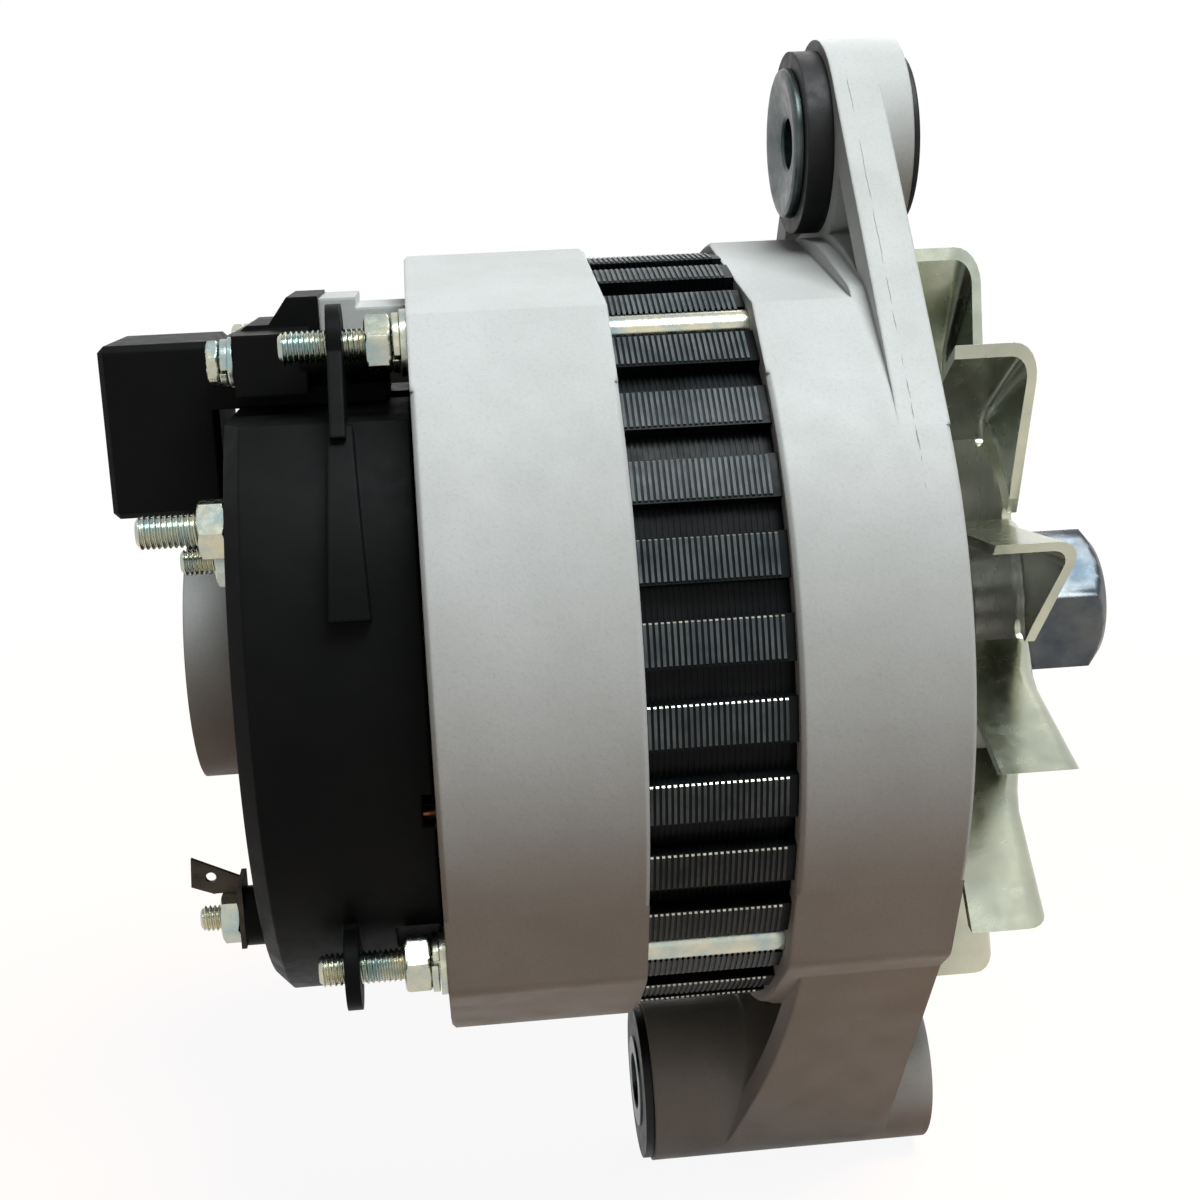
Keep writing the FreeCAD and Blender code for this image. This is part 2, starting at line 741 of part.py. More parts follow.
# regulator housing: case, neck with its hump, foot on the cover's flat, two screw tabs
case = block(regulatorRear, regulatorFront, -regulatorHalf, regulatorHalf, regulatorBottom, regulatorTop)
case = case.makeChamfer(regulatorChamfer, case.Edges)
neckHalf = regulatorHalf - neckInset
humpStart = neckEnd - humpLength
slopeStart = humpStart - humpSlope
neck = slab([
    (regulatorFront - 1, neckBottom), (neckEnd, neckBottom), (neckEnd, humpTop), (humpStart, humpTop),
    (slopeStart, neckTop + neckStep), (slopeStart - neckStepLength, neckTop + neckStep),
    (slopeStart - neckStepLength - 1, neckTop), (regulatorFront - 1, regulatorTop - regulatorChamfer),
], -neckHalf, neckHalf)
seat = block(regulatorFront - 1, seatEnd, -seatHalf, seatHalf, neckBottom, neckBottom + seatHeight)
tabs = [block(tabStart, tabEnd, -tabHalf, tabHalf, tabBottom, tabTop)]
for side in (-1, 1):
    tabs.append(cyl(tabBossR, tabEnd - 1, -pillarReach, (side * pillarY, pillarZ)))
housing = fused([case, neck, seat] + tabs)
cuts = [cyl(screwR, tabStart - 1, 0, (side * pillarY, pillarZ)) for side in (-1, 1)]
nodes["regulator_housing"] = housing.cut(cuts)

# brush holder: two guides that hang from the neck into the tower's window
holder = block(holderStart, holderEnd, -holderHalf, holderHalf, holderBottom, neckBottom)
roof = neckBottom - holderRoof
cuts = []
for x in brushX:
    cuts.append(block(x - guideHalfX, x + guideHalfX, -guideHalfY, guideHalfY, holderBottom - 1, roof))
nodes["brush_holder"] = holder.cut(cuts)
springLow, springHigh = brushTop + springWireR, roof - springWireR
for name, x in zip(("rear", "front"), brushX):
    ends = (x - brushLength / 2, x + brushLength / 2)
    carbon = block(*ends, -brushWidth / 2, brushWidth / 2, slipR - 1, brushTop)
    nodes["brush_" + name] = carbon.cut(cyl(slipR + brushGap, x - brushLength, x + brushLength))
    helix = Part.makeHelix((springHigh - springLow) / springTurns, springHigh - springLow, springR)
    wire = Part.Wire(Part.Circle(V(springR, 0, 0), V(0, 1, 0), springWireR).toShape())
    coil = Part.Wire(helix).makePipeShell([wire], True, True)
    coil.translate(V(x, 0, springLow))
    nodes["brush_spring_" + name] = coil

# regulator screws with two washers each
screws, washers = [], []
headStart = tabStart - flatWasherThick - springWasherThick
for side in (-1, 1):
    centre = (side * pillarY, pillarZ)
    shank = cyl(screwR, headStart - screwHead / 2, screwDepth, centre)
    screws.append(fused([shank, cyl(screwHeadR, headStart - screwHead, headStart, centre)]))
    washers.append(tube(screwHeadR + 0.6, screwR, tabStart - flatWasherThick, tabStart, centre))
    washers.append(tube(screwHeadR + 0.3, screwR, headStart, tabStart - flatWasherThick, centre))
nodes["regulator_screws"] = Part.makeCompound(screws)
nodes["regulator_washers"] = Part.makeCompound(washers)

# rectifier: two crescent heat sinks, diodes, insulating bushes and screws
plateStart = rectifierAngles[-1] - plateLead
plate = sector(positiveR, plateInnerR, positiveStart, positiveEnd, plateStart, positivePlateAngle)
cuts = [cyl(insulatorNeckR, positiveStart - 1, positiveEnd + 1, at(rectifierR, a)) for a in rectifierAngles]
cuts.append(cyl(outputR, positiveStart - 1, positiveEnd + 1, outputAt))
nodes["positive_plate"] = plate.cut(cuts)
plate = sector(negativeR, plateInnerR, negativeStart, negativeEnd, plateStart, negativePlateAngle)
cuts = [cyl(screwR, negativeStart - 1, negativeEnd + 1, at(rectifierR, a)) for a in rectifierAngles]
cuts += [cyl(leadSlotR, negativeStart - 1, negativeEnd + 1, at(leadSlotAt, a)) for a in leadAngles]
nodes["negative_plate"] = plate.cut(cuts)
diodes = []
for a in positiveDiodeAngles:
    centre = at(rectifierR, a)
    top = positiveStart - diodeHeight
    pin = cyl(diodePinR, top - diodePin, top + 0.5, centre)
    diodes.append(fused([cyl(diodeR, top, positiveStart, centre), pin]))
nodes["positive_diodes"] = Part.makeCompound(diodes)
diodeTop = negativeStart - negativeDiodeHeight
diodes = [cyl(diodeR, diodeTop, negativeStart, at(negativeDiodeR, a)) for a in leadAngles]
nodes["negative_diodes"] = Part.makeCompound(diodes)
insulators, screws = [], []
for a in rectifierAngles:
    centre = at(rectifierR, a)
    x = positiveStart - insulatorFlange
    bush = [tube(insulatorR, screwR, x, positiveStart, centre)]
    bush.append(tube(insulatorNeckR, screwR, positiveStart - 0.1, positiveEnd + 0.1, centre))
    bush.append(tube(insulatorR, screwR, positiveEnd, negativeStart, centre))
    insulators.append(fused(bush))
    shank = cyl(screwR, x - 1, bracketWall - 0.9, centre)
    screws.append(fused([shank, cyl(rectifierHeadR, x - rectifierHead, x, centre)]))
nodes["rectifier_insulators"] = Part.makeCompound(insulators)
nodes["rectifier_screws"] = Part.makeCompound(screws)


def bentTube(points, radius):
    # straight runs joined by tangent arcs, points are (x, r) in the plane of angle 0
    path = [V(x, -r, 0) for x, r in points]
    edges, start = [], path[0]
    for i in range(1, len(path) - 1):
        before, here, after = path[i - 1], path[i], path[i + 1]
        a, b = (before - here), (after - here)
        trim = 0.45 * min(a.Length, b.Length)
        a.normalize()
        b.normalize()
        p, q = here + a * trim, here + b * trim
        half = acos(max(-1.0, min(1.0, a.dot(b)))) / 2
        toCentre = (p + q) * 0.5 - here
        toCentre.normalize()
        top = here + toCentre * (trim / cos(half) - trim * tan(half))
        edges.append(Part.LineSegment(start, p).toShape())
        edges.append(Part.Arc(p, top, q).toShape())
        start = q
    edges.append(Part.LineSegment(start, path[-1]).toShape())
    section = Part.Wire(Part.Circle(path[0], path[1] - path[0], radius).toShape())
    return Part.Wire(edges).makePipeShell([section], True, False)


# phase leads: end turn, window, along the cover's wall, diode
diodeMiddle = (diodeTop + negativeStart) / 2
diodeEdge = negativeDiodeR + diodeR
lead = bentTube([
    (rearTurnStart + turnRound, endTurnOuterR - 3), (bracketWall + 1.5, windowOuterR - 2.6),
    (1.2, windowOuterR - 2.2), (coverFront - 2.6, windowOuterR - 1.4),
    (diodeMiddle, diodeEdge + 0.6), (diodeMiddle, diodeEdge - 1),
], leadR)
leads = Part.makeCompound([turned(lead, a) for a in leadAngles])
nodes["phase_leads"] = leads.cut([nodes["negative_diodes"], nodes["stator_windings"]])

# output stud, clamped through the positive plate, a brass spacer and the cover
outputNutFace = coverRear - nutHeight
exciterNutFace = coverRear - smallNutHeight
nodes["output_stud"] = fused([
    terminal(outputR, coverRear - outputReach, outputNutFace, positiveEnd + 0.5, outputAt),
    nut(nutFlats, positiveEnd, positiveEnd + outputHead, outputAt, 0),
])
nodes["output_spacer"] = tube(spacerR, outputR - threadDepth, coverFloor, positiveStart, outputAt)
nodes["output_nut"] = nut(nutFlats, outputNutFace, coverRear, outputAt, outputR - threadDepth)

# small exciter and phase studs with their nuts
nodes["exciter_stud"] = fused([
    terminal(exciterR, coverRear - exciterReach, exciterNutFace, coverFloor + 0.5, exciterAt),
    nut(smallNutFlats, coverFloor, coverFloor + smallHead, exciterAt, 0),
])
nodes["phase_stud"] = fused([
    stud(phaseR, phaseBossEnd - phaseReach, coverFloor + 0.5, phaseAt),
    nut(smallNutFlats, coverFloor, coverFloor + smallHead, phaseAt, 0),
])
tabFace = phaseBossEnd - bladeThick
smallNuts = [nut(smallNutFlats, exciterNutFace, coverRear, exciterAt, exciterR - threadDepth,
                 exciterNutTurn)]
smallNuts.append(nut(smallNutFlats, tabFace - smallNutHeight, tabFace, phaseAt, phaseR, phaseNutTurn))
nodes["small_nuts"] = Part.makeCompound(smallNuts)

# spade terminal held under the phase nut, its blade leaning back
py, pz = phaseAt
tab = block(tabFace, phaseBossEnd, py - 4, py + 4, pz - 3.8, pz + 6.2)
blade = slab([
    (tabFace - 7.1, pz + 9.6), (tabFace - 7.4, pz + 5.0), (tabFace + 0.2, pz + 2.0),
    (tabFace + 0.2, pz + 6.1),
], py + 0.6, py + 0.6 + bladeThick)
hole = Part.makeCylinder(0.8, 4, V(tabFace - 4.3, py - 1, pz + 6.4), V(0, 1, 0))
spade = fused([tab, blade]).cut([hole, cyl(phaseR, tabFace - 1, phaseBossEnd + 1, phaseAt)])
nutRoom = hexagon(smallNutFlats + 0.1, tabFace - smallNutHeight - 1, tabFace, phaseAt, phaseNutTurn)
nodes["phase_blade"] = spade.cut(nutRoom)


def race(outer, inner, x0, x1, pitchR, ballR):
    # bearing ring with its ball groove
    groove = Part.makeTorus(pitchR, ballR + ballGap, V((x0 + x1) / 2, 0, 0), axisX)
    return tube(outer, inner, x0, x1).cut(groove)


def balls(ballR, pitchR, x):
    made = []
    for i in range(ballCount):
        y, z = at(pitchR, 360.0 / ballCount * i)
        made.append(Part.makeSphere(ballR, V(x, y, z)))
    return made


# bearings
bearings = (
    ("rear", rearBearingStart, rearBearingEnd, rearBearingR, rearShaftR, rearBallR),
    ("front", frontBearingStart, frontBearingEnd, frontBearingR, frontShaftR, frontBallR),
)
cageRatios = {}
for name, x0, x1, outerR, shaftR, ballR in bearings:
    middle = (x0 + x1) / 2
    pitchR = (outerR + shaftR) / 2
    nodes[name + "_outer_race"] = race(outerR, pitchR + landInset, x0, x1, pitchR, ballR)
    nodes[name + "_inner_race"] = race(pitchR - landInset, shaftR, x0, x1, pitchR, ballR)
    rolling = balls(ballR, pitchR, middle)
    nodes[name + "_balls"] = Part.makeCompound(rolling)
    bandHalf = ballR + cageRim
    band = tube(pitchR + cageHalf, pitchR - cageHalf, middle - bandHalf, middle + bandHalf)
    nodes[name + "_cage"] = band.cut(rolling)
    cageRatios[name] = (1 - ballR / pitchR) / 2

# front bearing retainer with four countersunk screws
retainerStart = frontBearingStart - retainerThick
plate = tube(frontHubR - 0.4, frontBearingR - 2.8, retainerStart, frontBearingStart)
screws = []
for i in range(4):
    centre = at(frontBearingR + 2.3, 45 + 90 * i)
    neckX, endX = retainerStart + retainerHeadHeight, retainerStart + retainerScrewLength
    screws.append(revolve([
        (retainerStart, 0), (retainerStart, retainerHeadR), (neckX, retainerScrewR),
        (endX, retainerScrewR), (endX, 0),
    ], centre))
nodes["retainer_plate"] = plate.cut(screws)
nodes["retainer_screws"] = Part.makeCompound(screws)
nodes["front_bracket"] = nodes["front_bracket"].cut(screws)

# ear bush: steel sleeve with a disc at the rear, rubber round it
ear = (0, earHeight)
rubberStart = earStart - earRubberFlange
discStart = rubberStart - earDisc
earFace = earEnd + earRubberFront
sleeve = [cyl(earSleeveR, discStart, earFace + sleeveStandOut, ear)]
sleeve.append(cyl(earDiscR, discStart, rubberStart, ear))
nodes["ear_bush_sleeve"] = fused(sleeve).cut(cyl(earBoltR, discStart - 1, earFace + 2, ear))
rubber = [cyl(earRubberR, rubberStart, earStart, ear), cyl(earBoreR, earStart - 1, earEnd + 0.5, ear)]
rubber.append(cyl(earRubberFrontR, earEnd, earFace, ear))
nodes["ear_bush_rubber"] = fused(rubber).cut(cyl(earSleeveR, discStart, earFace + 1, ear))

# foot bush: steel sleeve in a rubber with a flange at the rear
foot = (0, -footDrop)
footSleeveStart = footStart - footFlange - sleeveStandOut
footSleeveEnd = footEnd + sleeveStandOut
nodes["foot_bush_sleeve"] = tube(footSleeveR, footBoltR, footSleeveStart, footSleeveEnd, foot)
rubber = [cyl(footFlangeR, footStart - footFlange, footStart, foot)]
rubber.append(cyl(footBoreR, footStart - 0.5, footEnd, foot))
nodes["foot_bush_rubber"] = fused(rubber).cut(cyl(footSleeveR, footSleeveStart - 1, footEnd + 1, foot))

# shaft, stepped, with a key slot under the fan collar
keyBlock = block(keyStart, keyEnd, -keyHalf, keyHalf, keyBottom, keyTop)
tailStart = rearBearingStart - 0.2
tailEnd = rearBearingEnd + 0.3
shaft = revolve([
    (tailStart, 0), (tailStart, rearShaftR - 0.8), (tailStart + 0.8, rearShaftR), (tailEnd, rearShaftR),
    (tailEnd, slipSeatR), (sleeveEnd + 0.5, slipSeatR), (sleeveEnd + 0.5, poleBoreR),
    (frontPoleEnd, poleBoreR), (frontPoleEnd, frontShaftR), (thickWasherEnd, frontShaftR),
    (thickWasherEnd, threadR), (shaftEnd - 1.0, threadR), (shaftEnd, threadR - 1.0), (shaftEnd, 0),
])
nodes["shaft"] = shaft.cut(keyBlock)
nodes["shaft_key"] = keyBlock

# claw poles: disc, half core and six tapering fingers each
discEnd = rearPoleStart + poleDiscThick
turning = revolve([
    (rearPoleStart, poleBoreR), (rearPoleStart, poleR - poleChamfer), (rearPoleStart + poleChamfer, poleR),
    (poleTipX, poleR), (poleTipX, poleR - poleTipThick), (discEnd, poleRootDepthR), (discEnd, poleHubR),
    (coreCentre, poleHubR), (coreCentre, poleBoreR),
])
rootEnd = discEnd - 2
finger = Part.makePolygon([
    V(rearPoleStart - 1, -poleRootHalf, 20), V(rootEnd, -poleRootHalf, 20), V(poleTipX + 1, -poleTipHalf, 20),
    V(poleTipX + 1, poleTipHalf, 20), V(rootEnd, poleRootHalf, 20), V(rearPoleStart - 1, poleRootHalf, 20),
    V(rearPoleStart - 1, -poleRootHalf, 20),
])
finger = Part.Face(finger).extrude(V(0, 0, poleR - poleHubR))
fingers = [turned(finger, 360.0 / poleCount * i) for i in range(poleCount)]
rearClaw = turning.common(fused([cyl(poleDiscR, rearPoleStart, coreCentre)] + fingers)).removeSplitter()
nodes["claw_pole_rear"] = rearClaw
nodes["claw_pole_front"] = turned(rearClaw.mirror(V(coreCentre, 0, 0), axisX), 180.0 / poleCount)

# field coil on its bobbin
discFront = 2 * coreCentre - discEnd
coilStart = discEnd + bobbinFlange
coilEnd = discFront - bobbinFlange
bobbin = [tube(coilInnerR, poleHubR, discEnd, discFront)]
bobbin.append(tube(coilR + bobbinRise, poleHubR, discEnd, coilStart))
bobbin.append(tube(coilR + bobbinRise, poleHubR, coilEnd, discFront))
nodes["coil_bobbin"] = fused(bobbin)
nodes["field_coil"] = tube(coilR, coilInnerR, coilStart, coilEnd)

# slip rings on their insulator
insulator = [tube(slipInnerR, slipSeatR, sleeveStart, sleeveEnd)]
rings = []
edge = sleeveStart
for x in brushX:
    insulator.append(tube(slipR - slipFlangeDrop, slipSeatR, edge, x - slipWidth / 2))
    rings.append(tube(slipR, slipInnerR, x - slipWidth / 2, x + slipWidth / 2))
    edge = x + slipWidth / 2
insulator.append(tube(slipR - slipFlangeDrop, slipSeatR, edge, sleeveEnd))
nodes["slip_ring_insulator"] = fused(insulator)
nodes["slip_rings"] = Part.makeCompound(rings)

# front end of the rotor: distance ring, collar, washers and nut
nodes["distance_ring"] = tube(distanceRingR, frontShaftR, frontPoleEnd, frontBearingStart)
nodes["fan_collar"] = tube(collarR, frontShaftR, frontBearingEnd, fanRear).cut(keyBlock)
nodes["thick_washer"] = tube(thickWasherR, frontShaftR, fanFront, thickWasherEnd)
nodes["lock_washer"] = tube(lockWasherR, threadR, thickWasherEnd, lockWasherEnd)
nodes["shaft_nut"] = nut(shaftNutFlats, lockWasherEnd, shaftNutEnd, (0.0, 0.0), threadR, shaftNutTurn)

# fan: disc with twelve petals, each carrying a blade folded to the rear along its upper edge
petals = []
for i in range(bladeCount):
    a = bladeAngle - bladePitch * i
    petals.append(at(fanR, a))
    petals.append(at(petalInnerR, a - petalLag))
    petals.append(at(bladeRootR, a - bladePitch + bladeRootLead))
disc = prism(petals, fanRear, fanFront)
tip = at(fanR, bladeAngle)
root = at(bladeRootR, bladeAngle + bladeRootLead)
run = (tip[0] - root[0], tip[1] - root[1])
scale = fanThick / hypot(*run)
# thickness is taken on the petal's side of the fold line
inward = (-run[1] * scale, run[0] * scale)
footprint = [root, tip, (tip[0] + inward[0], tip[1] + inward[1]), (root[0] + inward[0], root[1] + inward[1])]
flap = prism(footprint, bladeRear, fanFront)
blades = [turned(flap, bladePitch * i) for i in range(bladeCount)]
fan = fused([disc] + blades).common(cyl(fanR, bladeRear - 1, fanFront + 1))
reliefs = []
for i in range(bladeCount):
    notch = at(bladeRootR, bladeAngle + bladeRootLead + bladePitch * i)
    reliefs.append(cyl(notchR, fanRear - 1, fanFront + 1, notch))
nodes["fan"] = fan.cut(reliefs + [cyl(frontShaftR, fanRear - 1, fanFront + 1)])

# move everything to the pivot bore and write one file per node
pivotX = (footSleeveStart + footSleeveEnd) / 2
os.makedirs("parts", exist_ok=True)
for name, shape in nodes.items():
    placed = shape.copy()
    placed.translate(V(-pivotX, 0, footDrop))
    box = placed.BoundBox
    print(f"{name:22s} solids {len(placed.Solids):2d} valid {placed.isValid()} volume {placed.Volume:10.1f}"
          f" x {box.XMin:7.2f} {box.XMax:7.2f} z {box.ZMin:7.2f} {box.ZMax:7.2f}")
    placed.exportStep(os.path.join("parts", name + ".step"))
print("nodes", len(nodes), "pivot at station", round(pivotX, 3), "spring top", round(roof + footDrop, 3))
print("cage ratios", {name: round(value, 5) for name, value in cageRatios.items()})
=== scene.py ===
import json
from math import acos, atan2, cos, degrees, hypot, pi, radians, sin, sqrt

import bmesh
import bpy
from mathutils import Matrix, Vector
from mathutils.geometry import tessellate_polygon


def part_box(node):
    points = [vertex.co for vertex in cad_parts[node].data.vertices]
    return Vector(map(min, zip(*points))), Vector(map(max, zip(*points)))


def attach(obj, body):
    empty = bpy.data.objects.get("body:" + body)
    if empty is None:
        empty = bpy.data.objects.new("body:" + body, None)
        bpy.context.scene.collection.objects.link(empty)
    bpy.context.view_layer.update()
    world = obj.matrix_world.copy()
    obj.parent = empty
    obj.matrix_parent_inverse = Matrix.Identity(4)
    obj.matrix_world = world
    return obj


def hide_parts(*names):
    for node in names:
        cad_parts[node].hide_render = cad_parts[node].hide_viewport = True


# Belt-driven alternator: finishes, threads, laminations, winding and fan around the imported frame.
# Stations are in millimetres from the rear bracket's rear face, y and z from the shaft's centre.

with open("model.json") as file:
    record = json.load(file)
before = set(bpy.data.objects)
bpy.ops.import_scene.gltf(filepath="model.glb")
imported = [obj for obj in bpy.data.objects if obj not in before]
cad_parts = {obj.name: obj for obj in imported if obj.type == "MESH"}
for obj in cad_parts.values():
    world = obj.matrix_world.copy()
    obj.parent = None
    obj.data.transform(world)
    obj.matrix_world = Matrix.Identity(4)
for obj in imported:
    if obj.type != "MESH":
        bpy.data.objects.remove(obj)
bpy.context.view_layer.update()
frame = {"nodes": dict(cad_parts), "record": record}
print("frame loaded", len(frame["nodes"]), "nodes")

pivotStation = 58.8
shaftHeight = 86.0
earCentre = (0.0, 80.4)
shaftCentre = (0.0, 0.0)


def spot(x, y, z):
    return Vector(((x - pivotStation) / 1000, y / 1000, (z + shaftHeight) / 1000))


def polar(radius, angle):
    return -radius * cos(radians(angle)), radius * sin(radians(angle))


def stationsOf(box):
    # rear and front station of a node's box
    return box[0].x * 1000 + pivotStation, box[1].x * 1000 + pivotStation


# node helpers; each kind of noise has its (detail, roughness)
noiseKinds = {"drift": (4.0, 0.6), "speck": (2.0, 0.7), "fine": (3.0, 0.6), "paper": (3.0, 0.55)}
colourSpan = (0.35, 0.65)
valueSpan = (0.3, 0.7)
coatRoughness = 0.25
edgeSamples = 4


def node(tree, kind, **values):
    added = tree.nodes.new("ShaderNode" + kind)
    for key, value in values.items():
        if key in added.inputs:
            added.inputs[key].default_value = value
        else:
            setattr(added, key, value)
    return added


def noise(tree, coords, kind, scale, stretch=None):
    source = coords
    if stretch:
        mapping = node(tree, "Mapping")
        mapping.inputs["Scale"].default_value = stretch
        tree.links.new(coords, mapping.inputs["Vector"])
        source = mapping.outputs["Vector"]
    detail, roughness = noiseKinds[kind]
    added = node(tree, "TexNoise", Scale=scale, Detail=detail, Roughness=roughness)
    tree.links.new(source, added.inputs["Vector"])
    return added.outputs["Fac"]


def blendColours(tree, factor, low, high, span=colourSpan):
    ramp = node(tree, "ValToRGB")
    ramp.color_ramp.elements[0].position = span[0]
    ramp.color_ramp.elements[0].color = (*low, 1)
    ramp.color_ramp.elements[1].position = span[1]
    ramp.color_ramp.elements[1].color = (*high, 1)
    tree.links.new(factor, ramp.inputs["Fac"])
    return ramp.outputs["Color"]


def rampValue(tree, factor, low, high, span=valueSpan):
    added = node(tree, "MapRange")
    added.inputs["From Min"].default_value = span[0]
    added.inputs["From Max"].default_value = span[1]
    added.inputs["To Min"].default_value = low
    added.inputs["To Max"].default_value = high
    tree.links.new(factor, added.inputs["Value"])
    return added.outputs["Result"]


def makeFinish(name, look):
    # colour drifts slowly, roughness drifts faster, the grain is a bump of its real size
    material = bpy.data.materials.new(name)
    material.use_nodes = True
    tree = material.node_tree
    shader = tree.nodes["Principled BSDF"]
    coords = node(tree, "TexCoord").outputs["Object"]
    drift = noise(tree, coords, "drift", look["driftScale"])
    colour = blendColours(tree, drift, look["low"], look["high"], look.get("driftSpan", colourSpan))
    if "speck" in look:
        specks = noise(tree, coords, "speck", look["speckScale"])
        amount = rampValue(tree, specks, 0.0, look["speckAmount"], look["speckSpan"])
        mix = node(tree, "MixRGB")
        mix.inputs["Color2"].default_value = (*look["speck"], 1)
        tree.links.new(amount, mix.inputs["Fac"])
        tree.links.new(colour, mix.inputs["Color1"])
        colour = mix.outputs["Color"]
    tree.links.new(colour, shader.inputs["Base Color"])
    shader.inputs["Metallic"].default_value = look["metallic"]
    gloss = noise(tree, coords, "fine", look["glossScale"])
    tree.links.new(rampValue(tree, gloss, *look["roughness"]), shader.inputs["Roughness"])
    if "coat" in look:
        shader.inputs["Coat Weight"].default_value = look["coat"]
        shader.inputs["Coat Roughness"].default_value = coatRoughness
    if "specular" in look:
        shader.inputs["Specular IOR Level"].default_value = look["specular"]
    normal = None
    if "edge" in look:
        rounded = node(tree, "Bevel", samples=edgeSamples)
        rounded.inputs["Radius"].default_value = look["edge"] / 1000
        normal = rounded.outputs["Normal"]
    for scale, depth, stretch in look["grain"]:
        height = noise(tree, coords, "fine", scale, stretch)
        bump = node(tree, "Bump", Strength=1.0, Distance=depth / 1000)
        tree.links.new(height, bump.inputs["Height"])
        if normal:
            tree.links.new(normal, bump.inputs["Normal"])
        normal = bump.outputs["Normal"]
    tree.links.new(normal, shader.inputs["Normal"])
    return material


